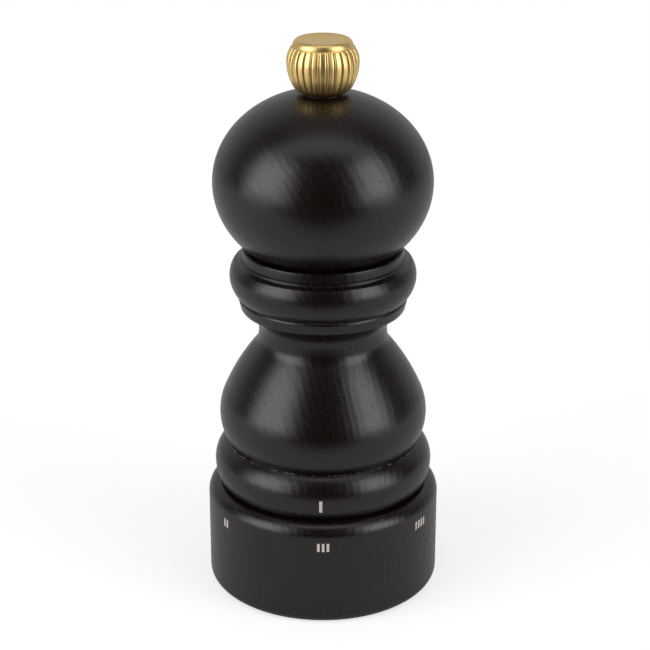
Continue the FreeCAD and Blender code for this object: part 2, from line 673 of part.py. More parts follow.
def tangent_angle(lower, lower_arc, upper, upper_arc):
    """Direction of the normal where one straight line touches a convex and a hollow arc."""
    across = upper[0] - lower[0]
    up = upper[1] - lower[1]
    return math.atan2(up, across) - math.acos((lower_arc + upper_arc) / math.hypot(across, up))


def body_outline():
    """Turned outside of the body, from the lower bead up to the rim, as a closed half-section."""
    bead_radius = sleeve_radius + BEAD_WALL
    bead_middle = (bead_radius - BEAD_ARC, body_floor + BEAD_RISE)
    bead_foot = bead_middle[0] + math.sqrt(BEAD_ARC ** 2 - BEAD_RISE ** 2)
    bead_end = bead_middle[0] + math.sqrt(BEAD_ARC ** 2 - (BEAD_HEIGHT - BEAD_RISE) ** 2)
    belly_radius = sleeve_radius + BELLY_WALL
    belly = (belly_radius - BELLY_ARC, belly_height)
    belly_foot = belly[0] + math.sqrt(BELLY_ARC ** 2 - (BELLY_RISE - QUIRK) ** 2)
    neck_radius = CHAMBER_RADIUS + NECK_WALL
    neck = (neck_radius + NECK_ARC, neck_height)
    turn = tangent_angle(belly, BELLY_ARC, neck, NECK_ARC)
    band_radius = CHAMBER_RADIUS + BAND_WALL
    band_foot = band_radius - BAND_TAPER
    collar_middle = (CHAMBER_RADIUS + COLLAR_WALL - COLLAR_ARC, band_top + COLLAR_RISE)
    collar_foot = collar_middle[0] + math.sqrt(COLLAR_ARC ** 2 - (COLLAR_RISE - QUIRK) ** 2)
    collar_end = collar_middle[0] + math.sqrt(
        COLLAR_ARC ** 2 - (COLLAR_HEIGHT - QUIRK - COLLAR_RISE) ** 2)
    rim_radius = CHAMBER_RADIUS + RIM_WALL

    shape = Outline(sleeve_radius, body_floor).line(bead_foot, body_floor)
    shape.through(bead_radius, bead_middle[1], bead_end, bead_top)
    shape.line(belly_foot - QUIRK, bead_top).line(belly_foot, bead_top + QUIRK)
    shape.arc(belly[0], belly[1],
              belly[0] + BELLY_ARC * math.cos(turn), belly[1] + BELLY_ARC * math.sin(turn))
    shape.line(neck[0] - NECK_ARC * math.cos(turn), neck[1] - NECK_ARC * math.sin(turn))
    shape.arc(neck[0], neck[1], neck_radius, neck_height)
    cove = band_foot - BAND_EDGE - neck_radius
    shape.through(neck_radius + cove * COVE_LEAN_OUT, neck_height + COVE_HEIGHT * COVE_LEAN_UP,
                  band_foot - BAND_EDGE, band_floor)
    shape.arc(band_foot - BAND_EDGE, band_floor + BAND_EDGE, band_foot, band_floor + BAND_EDGE)
    shape.line(band_radius, band_top).line(band_radius - QUIRK, band_top)
    shape.line(collar_foot, band_top + QUIRK)
    shape.through(CHAMBER_RADIUS + COLLAR_WALL, collar_middle[1], collar_end, collar_top - QUIRK)
    shape.line(rim_radius + RIM_BEVEL - QUIRK, collar_top)
    shape.line(rim_radius + RIM_BEVEL, collar_top + QUIRK).line(rim_radius, body_top)
    shape.line(CHAMBER_RADIUS, body_top).line(CHAMBER_RADIUS, bridge_top)
    shape.line(sleeve_radius, bridge_top)
    return shape


def body_shell():
    """Wooden body with the pepper chamber and the seat of the mechanism."""
    return body_outline().solid().cut(sleeve_screws(screw_blank))


def head_shell():
    """Ball-shaped wooden head with its tenon, shaft hole and bush seat."""
    shape = Outline(head_bore, tenon_floor).line(tenon_radius, tenon_floor)
    shape.line(tenon_radius, head_floor).line(HEAD_FOOT_RADIUS, head_floor)
    shape.quarter_ellipse(head_middle, HEAD_RADIUS, -HEAD_LOWER_AXIS, HEAD_RADIUS, head_middle)
    shape.quarter_ellipse(head_middle, HEAD_RADIUS, HEAD_UPPER_AXIS, head_flat_radius, head_top)
    shape.line(head_bush_radius, head_top).line(head_bush_radius, shaft_shoulder)
    shape.line(head_bore, shaft_shoulder)
    return shape.solid().cut(drive_screws(screw_blank))


def head_bush():
    """Plain bush in the head, clamped between the knob's washer and the shaft's shoulder."""
    return tube(head_bush_bore, head_bush_radius, shaft_shoulder, head_top)


def drive_plate():
    """Steel disc under the tenon, turned by the square shaft."""
    shape = Part.makeCylinder(drive_plate_radius, DRIVE_PLATE, FreeCAD.Vector(0, 0, drive_plate_floor))
    hole = square_bar(SHAFT_SQUARE + 2 * SLIDE_CLEARANCE, drive_plate_floor, tenon_floor)
    return shape.cut([hole] + drive_screws(screw_blank))


def knob_washer():
    return tube(head_bush_bore, head_bush_bore + KNOB_WASHER_WIDTH, head_top, knob_floor)


def top_knob():
    """Barrel-shaped brass nut with ribs between narrow grooves and a flat, bare top."""
    waist = knob_floor + KNOB_WAIST
    foot = (KNOB_RADIUS - KNOB_FOOT_INSET, knob_floor + KNOB_FOOT_HEIGHT)
    rim = (KNOB_RADIUS - KNOB_RIM_INSET, knob_top - KNOB_RIM_HEIGHT)
    lower_arc = arc_radius(KNOB_FOOT_INSET, KNOB_WAIST - KNOB_FOOT_HEIGHT)
    upper_arc = arc_radius(KNOB_RIM_INSET, rim[1] - waist)
    bore = tip_radius + RUN_CLEARANCE
    shape = Outline(bore, knob_floor).line(KNOB_BASE_RADIUS, knob_floor)
    shape.through(KNOB_BASE_RADIUS + (foot[0] - KNOB_BASE_RADIUS) * KNOB_ROUND_OUT,
                  knob_floor + KNOB_FOOT_HEIGHT * KNOB_ROUND_UP, foot[0], foot[1])
    shape.arc(KNOB_RADIUS - lower_arc, waist, KNOB_RADIUS, waist)
    shape.arc(KNOB_RADIUS - upper_arc, waist, rim[0], rim[1])
    shape.through(KNOB_TOP_RADIUS + (rim[0] - KNOB_TOP_RADIUS) * KNOB_ROUND_OUT,
                  knob_top - KNOB_RIM_HEIGHT * KNOB_ROUND_UP, KNOB_TOP_RADIUS, knob_top)
    shape.line(0, knob_top).line(0, knob_top - KNOB_CAP).line(bore, knob_top - KNOB_CAP)
    path_radius = KNOB_RADIUS + RIB_GROOVE_RADIUS - RIB_GROOVE_DEPTH
    path = Outline(path_radius - KNOB_FOOT_INSET, foot[1])
    path.arc(path_radius - lower_arc, waist, path_radius, waist)
    path.arc(path_radius - upper_arc, waist, path_radius - KNOB_RIM_INSET, rim[1])
    start = path.edges[0].Vertexes[0].Point
    way = path.edges[0].tangentAt(path.edges[0].FirstParameter)
    groove = Part.BRepOffsetAPI.MakePipeShell(Part.Wire(path.edges))
    groove.add(Part.Wire(Part.makeCircle(RIB_GROOVE_RADIUS, start, way)))
    groove.build()
    groove.makeSolid()
    return shape.solid().cut(around(groove.shape(), KNOB_RIBS, 180.0 / KNOB_RIBS))


def arc_radius(inset, length):
    """Radius of an arc that leaves its tangent by an inset over a length."""
    return (length ** 2 + inset ** 2) / (2 * inset)


PIECES = {
    "top_knob": top_knob,
    "knob_washer": knob_washer,
    "head_shell": head_shell,
    "head_bush": head_bush,
    "drive_plate": drive_plate,
    "drive_plate_screws": lambda: Part.makeCompound(drive_screws()),
    "body_shell": body_shell,
    "drive_shaft": drive_shaft,
    "bearing_bridge": bearing_bridge,
    "bridge_bush": bridge_bush,
    "retaining_clip": retaining_clip,
    "mechanism_sleeve": mechanism_sleeve,
    "sleeve_screws": lambda: Part.makeCompound(sleeve_screws()),
    "thrust_washer": thrust_washer,
    "click_spring": click_spring,
    "ring_retainer": ring_retainer,
    "ring_retainer_screws": lambda: Part.makeCompound(retainer_screws()),
    "setting_ring": setting_ring,
    "ring_liner": ring_liner,
    "adjusting_nut": adjusting_nut,
    "adjusting_nut_screws": lambda: Part.makeCompound(nut_screws()),
    "burr_carrier": burr_carrier,
    "outer_burr": outer_burr,
    "burr_spring": burr_spring,
    "inner_burr": inner_burr,
    "burr_washer": burr_washer,
    "burr_nut": burr_nut,
}

os.makedirs("parts", exist_ok=True)
for name, build in PIECES.items():
    shape = build()
    if not shape.isValid():
        raise RuntimeError(name + " is not a valid solid")
    print("%-22s %d solid(s) %10.2f mm3" % (name, len(shape.Solids), shape.Volume))
    shape.exportStep("parts/" + name + ".step")
print("overall height %.2f mm, widest radius %.2f mm" % (knob_top, ring_radius))
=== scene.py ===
# %% [markdown]
# # A turned pepper mill
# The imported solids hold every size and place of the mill. This lesson dresses them: the wooden pieces and
# the knob are turned again with finer curves and softened edges, every surface gets its finish, and a small
# studio is set up with the camera where the photograph was taken from. Loading the frame comes first, because
# every later step takes its heights and its moving bodies from it.

# %% Load the frame
import json
import math

import bpy
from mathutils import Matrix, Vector


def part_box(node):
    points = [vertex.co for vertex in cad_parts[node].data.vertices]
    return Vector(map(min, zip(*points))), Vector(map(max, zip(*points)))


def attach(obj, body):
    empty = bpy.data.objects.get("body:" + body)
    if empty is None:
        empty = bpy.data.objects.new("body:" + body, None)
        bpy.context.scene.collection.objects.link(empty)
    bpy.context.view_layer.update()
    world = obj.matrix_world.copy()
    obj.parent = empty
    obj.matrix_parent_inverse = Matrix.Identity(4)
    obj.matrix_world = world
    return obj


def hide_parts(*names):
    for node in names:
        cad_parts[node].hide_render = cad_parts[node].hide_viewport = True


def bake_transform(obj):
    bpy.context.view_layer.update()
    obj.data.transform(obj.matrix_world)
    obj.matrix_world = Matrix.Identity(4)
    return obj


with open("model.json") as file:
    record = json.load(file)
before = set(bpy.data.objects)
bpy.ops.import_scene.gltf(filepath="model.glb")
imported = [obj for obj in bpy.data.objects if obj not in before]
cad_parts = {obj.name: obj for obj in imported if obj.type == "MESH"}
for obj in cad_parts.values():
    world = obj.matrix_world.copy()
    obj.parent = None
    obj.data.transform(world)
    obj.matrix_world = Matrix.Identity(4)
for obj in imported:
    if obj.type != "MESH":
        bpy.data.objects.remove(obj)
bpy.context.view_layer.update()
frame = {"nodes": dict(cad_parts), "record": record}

MM = 0.001


def floor_of(node):
    """Lowest height of a CAD node, in millimetres."""
    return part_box(node)[0].z / MM


def top_of(node):
    """Greatest height of a CAD node, in millimetres."""
    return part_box(node)[1].z / MM


# %% [markdown]
# ## Shader maths as plain Python
# A finish is a node tree, and a tree written link by link is hard to read. One small class wraps a socket, so
# that sums and products of sockets read as such and add their Math nodes behind the scenes. Any other node
# comes from its one method, which sets the node's own settings first and then fills its sockets.

# %% The Shade class
class Shade:
    """One output socket of a node tree, with arithmetic."""

    def __init__(self, tree, socket=None):
        self.tree = tree
        self.socket = socket

    def node(self, kind, settings=None, inputs=None, output=0):
        """Adds a node of any kind: its settings, its sockets' values or links, and the output to use."""
        made = self.tree.nodes.new(kind)
        for key, value in (settings or {}).items():
            setattr(made, key, value)
        for key, value in (inputs or {}).items():
            if isinstance(value, Shade):
                self.tree.links.new(value.socket, made.inputs[key])
            else:
                made.inputs[key].default_value = value
        return Shade(self.tree, made.outputs[output])

    def maths(self, operation, first, second=0.0):
        return self.node("ShaderNodeMath", {"operation": operation}, {0: first, 1: second})

    def __add__(self, other):
        return self.maths("ADD", self, other)

    def __radd__(self, other):
        return self.maths("ADD", other, self)

    def __sub__(self, other):
        return self.maths("SUBTRACT", self, other)

    def __rsub__(self, other):
        return self.maths("SUBTRACT", other, self)

    def __mul__(self, other):
        return self.maths("MULTIPLY", self, other)

    def __rmul__(self, other):
        return self.maths("MULTIPLY", other, self)

    def __truediv__(self, other):
        return self.maths("DIVIDE", self, other)


print("shader maths ready")

# %% [markdown]
# ## Patterns that the finishes share
# Grain, pores and tool marks are all noise or waves, stretched along one direction. They read the object's
# own coordinates in metres, so a pattern keeps its real size and stays on the piece when the piece moves.

# %% Places, grains and lathe lines
def spot(shade, shift=(0, 0, 0), turn=(0, 0, 0), scale=(1, 1, 1)):
    """Place on the object: scaled, turned and then shifted."""
    place = shade.node("ShaderNodeTexCoord", output="Object")
    return shade.node("ShaderNodeMapping", inputs={
        "Vector": place, "Location": shift, "Rotation": turn, "Scale": scale})


def grains(shade, sizes, detail=2.0, roughness=0.5):
    """Noise whose grains have the given sizes in millimetres along X, Y and Z."""
    place = spot(shade, scale=[1 / (size * MM) for size in sizes])
    return shade.node("ShaderNodeTexNoise", inputs={
        "Vector": place, "Scale": 1.0, "Detail": detail, "Roughness": roughness})


def lathe_lines(shade, width):
    """Lines round the Z axis: noise over the distance from the axis and the height."""
    flat = spot(shade, scale=(1, 1, 0))
    away = shade.node("ShaderNodeVectorMath", {"operation": "LENGTH"}, {0: flat}, output="Value")
    place = shade.node("ShaderNodeTexCoord", output="Object")
    height = shade.node("ShaderNodeSeparateXYZ", inputs={0: place}, output="Z")
    line = shade.node("ShaderNodeCombineXYZ", inputs={
        "X": away / (width * MM), "Y": height / (width * MM), "Z": 0.0})
    return shade.node("ShaderNodeTexNoise", inputs={
        "Vector": line, "Scale": 1.0, "Detail": 2.0, "Roughness": 0.6})


# %% Ramps, colours and bumps
def between(shade, low, high, value):
    """0 below low, 1 above high, and smooth between them."""
    return shade.node("ShaderNodeMapRange", {"interpolation_type": "SMOOTHSTEP"}, {
        "Value": value, "From Min": low, "From Max": high})


def mixed(shade, first, second, amount):
    """One colour turning into another."""
    inputs = {0: amount}
    for index, colour in ((6, first), (7, second)):
        inputs[index] = colour if isinstance(colour, Shade) else (*colour, 1.0)
    return shade.node("ShaderNodeMix", {"data_type": "RGBA"}, inputs, output=2)


def raised(shade, height, depth):
    """A bump of a given depth in millimetres."""
    return shade.node("ShaderNodeBump", inputs={"Strength": 1.0, "Distance": depth * MM, "Height": height})


def painted(shade, name):
    """A number that the mesh carries at its points."""
    return shade.node("ShaderNodeAttribute", {"attribute_name": name}, output="Fac")


# %% A finish
def finish(name, paint, constants=None):
    """A material: paint gives what varies over the surface, and constants are set on the shader."""
    material = bpy.data.materials.new(name)
    material.use_nodes = True
    tree = material.node_tree
    shader = tree.nodes["Principled BSDF"]
    for socket, value in (constants or {}).items():
        shader.inputs[socket].default_value = value
    for socket, value in paint(Shade(tree)).items():
        tree.links.new(value.socket, shader.inputs[socket])
    print("finish:", name, len(tree.nodes), "nodes")
    return material


# %% [markdown]
# ## Dark lacquered wood
# The mill is turned from close-grained beech, stained almost black-brown and sprayed with a satin lacquer.
# What is left to see of the timber is faint: growth rings round a pith that lay well outside the blank, and
# the short dark flecks of beech along the grain. Both dimple the lacquer a little, as do the marks of the
# lathe. Rubbed edges wear paler, and their pale colour is also a painted highlight for the light these edges
# catch. A picture of wood would repeat and stretch over the ball of the head, so the figure is worked out in
# three dimensions instead: a cut through the same solid pattern, as a lathe cuts through a real log.

# %% Growth rings and flecks
RING_SPACING = 1.5
RING_WAVER = 4.0
WAVER_SIZE = (14, 14, 50)
PITH = (0.046, 0.031, 0.0)
PITH_LEAN = (0.10, -0.16, 0.0)
LOG_STRETCH = 0.5
FLECK_SIZE = (0.30, 0.30, 2.4)
FLECK_RANGE = (0.60, 0.72)


def growth(shade):
    """Growth rings: a wave over the distance from the pith, wavering along the log."""
    log = spot(shade, shift=PITH, turn=PITH_LEAN, scale=(1, 1, LOG_STRETCH))
    distance = shade.node("ShaderNodeVectorMath", {"operation": "LENGTH"}, {0: log}, output="Value")
    turns = distance / (RING_SPACING * MM) + grains(shade, WAVER_SIZE) * RING_WAVER
    return 0.5 + 0.5 * shade.maths("SINE", turns * (2 * math.pi))


def flecks(shade):
    """Short dashes along the grain."""
    return between(shade, *FLECK_RANGE, grains(shade, FLECK_SIZE, detail=1.0))


print("growth rings", RING_SPACING, "mm apart")

# %% Stained and lacquered
STAIN = ((0.0016, 0.0006, 0.0005), (0.0064, 0.0025, 0.0019))
STAINED_FLECK = (0.0006, 0.0004, 0.0004)
# Pale colour of rubbed edges, standing also for a painted highlight: the light that these edges catch.
WORN_WOOD_AND_SHEEN = (0.16, 0.145, 0.135)
CHIP_SIZE = (1.1, 1.1, 0.6)
WORN_SHEEN_RANGE = (0.97, 1.10)
WORN_SHEEN_SHARE = 0.56
LACQUER_RELIEF = 0.016


def lacquered_wood(shade):
    rings = growth(shade)
    dashes = flecks(shade)
    cloud = grains(shade, (9, 9, 24), detail=3.0)
    mist = grains(shade, (0.5, 0.5, 1.2), detail=3.0)
    lines = lathe_lines(shade, 0.45)
    chips = grains(shade, CHIP_SIZE, detail=3.0)
    # Pale on rubbed edges, as wear and as a painted highlight of the light the edges catch.
    worn_and_sheen = between(shade, *WORN_SHEEN_RANGE, chips + painted(shade, "edge") * WORN_SHEEN_SHARE)
    colour = mixed(shade, *STAIN, rings * 0.35 + cloud * 0.65)
    colour = mixed(shade, colour, STAINED_FLECK, dashes * 0.8)
    relief = mist * 0.3 + rings * 0.6 + lines * 0.4 - dashes * 0.5
    return {
        "Base Color": mixed(shade, colour, WORN_WOOD_AND_SHEEN, worn_and_sheen),
        "Roughness": 0.23 + dashes * 0.08 + mist * 0.10 + worn_and_sheen * 0.15,
        "Normal": raised(shade, relief, LACQUER_RELIEF),
    }


dark_wood = finish("dark lacquered beech", lacquered_wood, {"IOR": 1.5})

# %% Left bare
BEECH = ((0.42, 0.25, 0.13), (0.58, 0.39, 0.23))
BEECH_FLECK = (0.24, 0.12, 0.055)
FIBRE_RELIEF = 0.03


def raw_wood(shade):
    rings = growth(shade)
    dashes = flecks(shade)
    cloud = grains(shade, (6, 6, 20), detail=4.0)
    fibre = grains(shade, (0.15, 0.15, 2.0), detail=4.0)
    colour = mixed(shade, *BEECH, rings * 0.5 + cloud * 0.5)
    return {
        "Base Color": mixed(shade, colour, BEECH_FLECK, dashes * 0.7),
        "Roughness": 0.55 + fibre * 0.25,
        "Normal": raised(shade, fibre - dashes * 0.5, FIBRE_RELIEF),
    }


bare_wood = finish("bare beech", raw_wood)

# %% [markdown]
# ## Metals
# The knob is brass: turned, ribbed and lightly polished, bright on the crowns of the ribs and brown with
# tarnish down in the grooves. Its foot is darkened towards the bottom in the same brown, as painted shade.
# Tarnish and painted shade follow an attribute of the mesh, which the knob paints where these are. The steel
# inside is bright zinc plate on the shaft and fittings, dark hardened steel on the burrs, and drawn wire on
# the springs. Fine lines round the axis stand for the marks of the lathe.

# %% Brass of the knob
METAL = {"Metallic": 1.0}
KNOB_BRASS = ((0.87, 0.60, 0.205), (0.95, 0.71, 0.31))
# Brown of the tarnish in the grooves, also used as painted shade at the knob's foot.
TARNISH_AND_FOOT_SHADE = (0.22, 0.13, 0.04)


def polished_brass(shade):
    # The groove attribute holds tarnish in the grooves and painted shade at the foot.
    tarnish_and_foot_shade = painted(shade, "groove")
    lines = lathe_lines(shade, 0.09)
    cloud = grains(shade, (1.6, 1.6, 1.6), detail=5.0, roughness=0.6)
    return {
        "Base Color": mixed(shade, mixed(shade, *KNOB_BRASS, cloud), TARNISH_AND_FOOT_SHADE, tarnish_and_foot_shade * 0.9),
        "Roughness": 0.28 + lines * 0.10 + cloud * 0.06 + tarnish_and_foot_shade * 0.08,
        "Normal": raised(shade, lines * 0.5 + cloud * 0.8, 0.012),
    }


knob_brass = finish("knob brass", polished_brass, METAL)

# %% Bushes and plated fittings
BUSH_BRASS = ((0.55, 0.36, 0.14), (0.70, 0.48, 0.20))
ZINC = ((0.46, 0.46, 0.47), (0.62, 0.62, 0.61))


def turned_brass(shade):
    lines = lathe_lines(shade, 0.12)
    cloud = grains(shade, (3, 3, 3), detail=4.0)
    return {
        "Base Color": mixed(shade, *BUSH_BRASS, cloud),
        "Roughness": 0.28 + lines * 0.2,
        "Normal": raised(shade, lines, 0.006),
    }


def zinc_plate(shade):
    cloud = grains(shade, (4, 4, 4), detail=5.0, roughness=0.6)
    scratch = grains(shade, (0.12, 0.12, 6.0), detail=3.0)
    return {
        "Base Color": mixed(shade, *ZINC, cloud),
        "Roughness": 0.24 + cloud * 0.14 + scratch * 0.08,
        "Normal": raised(shade, scratch, 0.004),
    }


bush_brass = finish("turned bush brass", turned_brass, METAL)
bright_steel = finish("bright zinc plate", zinc_plate, METAL)

# %% Burrs and springs
HARD_STEEL = ((0.13, 0.13, 0.135), (0.24, 0.235, 0.23))
PIT = (0.07, 0.06, 0.055)
WIRE_STEEL = ((0.33, 0.33, 0.34), (0.48, 0.48, 0.48))


def hardened_steel(shade):
    cloud = grains(shade, (1.8, 1.8, 1.8), detail=6.0, roughness=0.65)
    pits = between(shade, 0.62, 0.74, grains(shade, (0.25, 0.25, 0.25)))
    return {
        "Base Color": mixed(shade, mixed(shade, *HARD_STEEL, cloud), PIT, pits * 0.7),
        "Roughness": 0.36 + cloud * 0.16 + pits * 0.15,
        "Normal": raised(shade, cloud * 0.4 - pits, 0.012),
    }


def drawn_wire(shade):
    cloud = grains(shade, (1.5, 1.5, 1.5), detail=4.0)
    draw = grains(shade, (2.0, 2.0, 0.08))
    return {
        "Base Color": mixed(shade, *WIRE_STEEL, cloud),
        "Roughness": 0.26 + draw * 0.15,
        "Normal": raised(shade, draw, 0.003),
    }


burr_steel = finish("hardened burr steel", hardened_steel, METAL)
spring_steel = finish("drawn spring wire", drawn_wire, METAL)

# %% [markdown]
# ## Plastics and the setting marks
# The sleeve, its nut and the burr carrier are moulded in black plastic with a fine matt skin, and the thrust
# washer in pale nylon. The setting marks are cream paint, a little uneven because it is printed on wood.

# %% Plastics
BLACK = ((0.0030, 0.0030, 0.0032), (0.0075, 0.0075, 0.0078))
NYLON = ((0.62, 0.59, 0.51), (0.74, 0.71, 0.64))


def moulded(shade, dark, light):
    skin = grains(shade, (0.12, 0.12, 0.12), detail=2.0)
    cloud = grains(shade, (5, 5, 5), detail=3.0)
    return {
        "Base Color": mixed(shade, dark, light, cloud),
        "Roughness": 0.50 + skin * 0.18,
        "Normal": raised(shade, skin, 0.006),
    }


black_plastic = finish("black moulding", lambda shade: moulded(shade, *BLACK), {"Specular IOR Level": 0.15})
pale_plastic = finish("pale nylon", lambda shade: moulded(shade, *NYLON))

# %% Print on the wood
CREAM = ((0.36, 0.32, 0.29), (0.58, 0.53, 0.49))


def cream_print(shade):
    cover = between(shade, 0.40, 0.62, grains(shade, (0.16, 0.16, 0.30), detail=3.0))
    return {
        "Base Color": mixed(shade, *CREAM, cover),
        "Roughness": 0.50 + cover * 0.15,
        "Normal": raised(shade, cover, 0.004),
    }


mark_paint = finish("cream print", cream_print)

# %% [markdown]
# ## Finishes on the solids
# Every solid of the frame names a finish slot in the record. Its material slots are filled from there, so
# each inner piece is dressed as well, and shows properly when the head is lifted off or the mill is turned
# over.

# %% Dress the solids
FINISHES = {
    "dark_wood": dark_wood,
    "knob_brass": knob_brass,
    "bush_brass": bush_brass,
    "bright_steel": bright_steel,
    "burr_steel": burr_steel,
    "spring_steel": spring_steel,
    "black_plastic": black_plastic,
    "pale_plastic": pale_plastic,
}
for part in frame["record"]["subparts"]:
    mesh = frame["nodes"][part["node"]].data
    mesh.materials.clear()
    mesh.materials.append(FINISHES[part["material_slot"]])

# %% [markdown]
# ## Turning on the lathe
# A turner cuts to a template, half of the outline. Here a single vertex is extruded along the outline from
# point to point, and the line is then spun about the axis. A revolved curve with a Screw modifier would do as
# well, but the drawn line keeps each bead and hollow where its own points are. A corner that carries a third
# number is eased by a small arc of that radius, as sanding and lacquer do. Where an edge is rubbed in use,
# its points carry a number that paints the lacquer pale there, as wear and as a painted highlight.

# %% Arcs of an outline
def swing(centre, start, end, count):
    """Points on the shorter arc about a centre, after start and up to end, as (radius, height)."""
    first = math.atan2(start[1] - centre[1], start[0] - centre[0])
    last = math.atan2(end[1] - centre[1], end[0] - centre[0])
    sweep = (last - first + math.pi) % (2 * math.pi) - math.pi
    reach = math.dist(centre, start[:2])
    points = []
    for index in range(1, count + 1):
        angle = first + sweep * index / count
        points.append((centre[0] + reach * math.cos(angle), centre[1] + reach * math.sin(angle)))
    return points


def centre_through(a, b, c):
    """Centre of the circle through three points."""
    ab = (b[0] - a[0], b[1] - a[1])
    ac = (c[0] - a[0], c[1] - a[1])
    twice = 2 * (ab[0] * ac[1] - ab[1] * ac[0])
    ab2 = ab[0] ** 2 + ab[1] ** 2
    ac2 = ac[0] ** 2 + ac[1] ** 2
    return (a[0] + (ac[1] * ab2 - ab[1] * ac2) / twice, a[1] + (ab[0] * ac2 - ac[0] * ab2) / twice)


def upright_at(foot, middle):
    """Centre of the arc from a foot that stands upright at a middle point."""
    return centre_through(foot, middle, (foot[0], 2 * middle[1] - foot[1]))


def through(start, middle, end, count):
    """Points on the arc from start through a middle point to end."""
    centre = centre_through(start, middle, end)
    half = count // 2
    return swing(centre, start, middle, half) + swing(centre, middle, end, count - half)


# %% Corners of an outline
CRISP = 0.12
SOFT = 0.30
EASE_SHARE = 0.45
EASE_STEPS = 4


def eased(points):
    """Replaces each corner that carries a radius by an arc of about that radius."""
    smooth = []
    for index, point in enumerate(points):
        if len(point) == 2:
            smooth.append(point)
            continue
        corner = Vector(point[:2])
        back = Vector(points[index - 1][:2]) - corner
        ahead = Vector(points[(index + 1) % len(points)][:2]) - corner
        half = back.angle(ahead) / 2
        reach = min(point[2] / math.tan(half), back.length * EASE_SHARE, ahead.length * EASE_SHARE)
        start = corner + back.normalized() * reach
        end = corner + ahead.normalized() * reach
        centre = corner + (back.normalized() + ahead.normalized()).normalized() * reach / math.cos(half)
        smooth.append(tuple(start))
        smooth += swing(tuple(centre), tuple(start), tuple(end), EASE_STEPS)
    return smooth


# %% Draw and spin an outline
LATHE_STEPS = 192
MERGE = 0.001
SMOOTH = math.radians(40)


def draw_outline(name, outline):
    """One vertex, extruded from point to point of an outline in millimetres."""
    bpy.ops.object.select_all(action="DESELECT")
    bpy.ops.mesh.primitive_plane_add(size=MM)
    piece = bpy.context.object
    piece.name = name
    bpy.ops.object.mode_set(mode="EDIT")
    bpy.ops.mesh.select_all(action="SELECT")
    bpy.ops.mesh.merge(type="CENTER")
    pen = Vector((0, 0, 0))
    for index, (radius, height) in enumerate(outline):
        step = Vector((radius * MM, 0, height * MM)) - pen
        if index == 0:
            bpy.ops.transform.translate(value=step)
        else:
            bpy.ops.mesh.extrude_region_move(TRANSFORM_OT_translate={"value": step})
        pen += step
    return piece


def close_up(angle):
    """Turns all faces outwards, leaves edit mode and smooths bends below an angle."""
    bpy.ops.mesh.select_all(action="SELECT")
    bpy.ops.mesh.normals_make_consistent(inside=False)
    bpy.ops.object.mode_set(mode="OBJECT")
    bpy.ops.object.shade_smooth_by_angle(angle=angle)


def turned(name, corners, steps=LATHE_STEPS):
    """Spins a closed outline, with its corners eased, into a solid."""
    outline = eased(corners)
    piece = draw_outline(name, outline + outline[:1])
    bpy.ops.mesh.select_all(action="SELECT")
    bpy.ops.mesh.spin(steps=steps, angle=2 * math.pi, center=(0, 0, 0), axis=(0, 0, 1))
    bpy.ops.mesh.select_all(action="SELECT")
    bpy.ops.mesh.remove_doubles(threshold=MERGE * MM)
    close_up(SMOOTH)
    print("turned", name, "from", len(outline), "points,", len(piece.data.polygons), "faces")
    return piece


# %% Wear and painted highlight, fit and inner faces
WORN_SHEEN_WIDTH = 0.22


def paint_worn_sheen_edge(piece, worn_and_sheen, strength):
    """Paints how near each point of a turned piece is to its rubbed edge, which shows wear and a painted
    highlight.
    """
    edge = piece.data.attributes.new("edge", "FLOAT", "POINT")
    for index, vertex in enumerate(piece.data.vertices):
        place = (vertex.co.xy.length / MM, vertex.co.z / MM)
        edge.data[index].value = strength * max(0.0, 1.0 - math.dist(place, worn_and_sheen) / WORN_SHEEN_WIDTH)


def fit(piece, body, slot, dress, *nodes):
    """Dresses a piece, lets it ride on a body and takes the place of CAD nodes."""
    piece.data.materials.append(dress)
    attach(piece, body)
    if nodes:
        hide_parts(*nodes)


def paint_faces(piece, dress, chosen):
    """A second finish on the faces whose (radius, height) in millimetres passes a test."""
    piece.data.materials.append(dress)
    last = len(piece.data.materials) - 1
    count = 0
    for face in piece.data.polygons:
        if chosen(face.center.xy.length / MM, face.center.z / MM):
            face.material_index = last
            count += 1
    print(piece.name, "has", count, "faces of", dress.name)


# %% [markdown]
# ## The body
# From its foot up the body has a bead, a quirk, a round belly that runs into a slim neck, a hollow, a narrow
# band, a second bead as its collar, and an upright rim on a small ledge. Belly and neck are two arcs with a
# third, much flatter one between them, which starts and ends with about the slope of its neighbours. Each
# bead is fuller below than above, so its lower half has an arc of its own. The upper edge of the lower bead
# is rubbed and painted pale, as wear and as a painted highlight, and inside is the bare wood of the chamber.

# %% Lower bead, belly and neck
body_floor = floor_of("body_shell")
body_top = top_of("body_shell")
bridge_top = top_of("bearing_bridge")
SEAT_RADIUS = 17.5
CHAMBER_RADIUS = 9.6
SKIRT_BORE = 21.2
QUIRK = 0.45
BEAD_ARC = 5.8
BEAD_CENTRE = (17.6, body_floor + 3.5)
BEAD_TOP = body_floor + 8.5
BEAD_MIDDLE = (BEAD_CENTRE[0] + BEAD_ARC, BEAD_CENTRE[1])
BEAD_FOOT = (22.5, body_floor - 0.5)
LOW_BEAD = upright_at(BEAD_FOOT, BEAD_MIDDLE)
BEAD_WORN_SHEEN = 0.16
BELLY_ARC = 12.0
BELLY_CENTRE = (10.2, BEAD_TOP + 6.1)
BELLY_LEAN = math.radians(25)
SHOULDER = (17.85, BELLY_CENTRE[1] + 11.15)
NECK_LEAN = math.radians(38)
NECK_ARC = 4.0
NECK_CENTRE = (17.65, BELLY_CENTRE[1] + 18.2)
NECK = (NECK_CENTRE[0] - NECK_ARC, NECK_CENTRE[1])
print("body from", round(body_floor, 2), "to", round(body_top, 2), "mm")

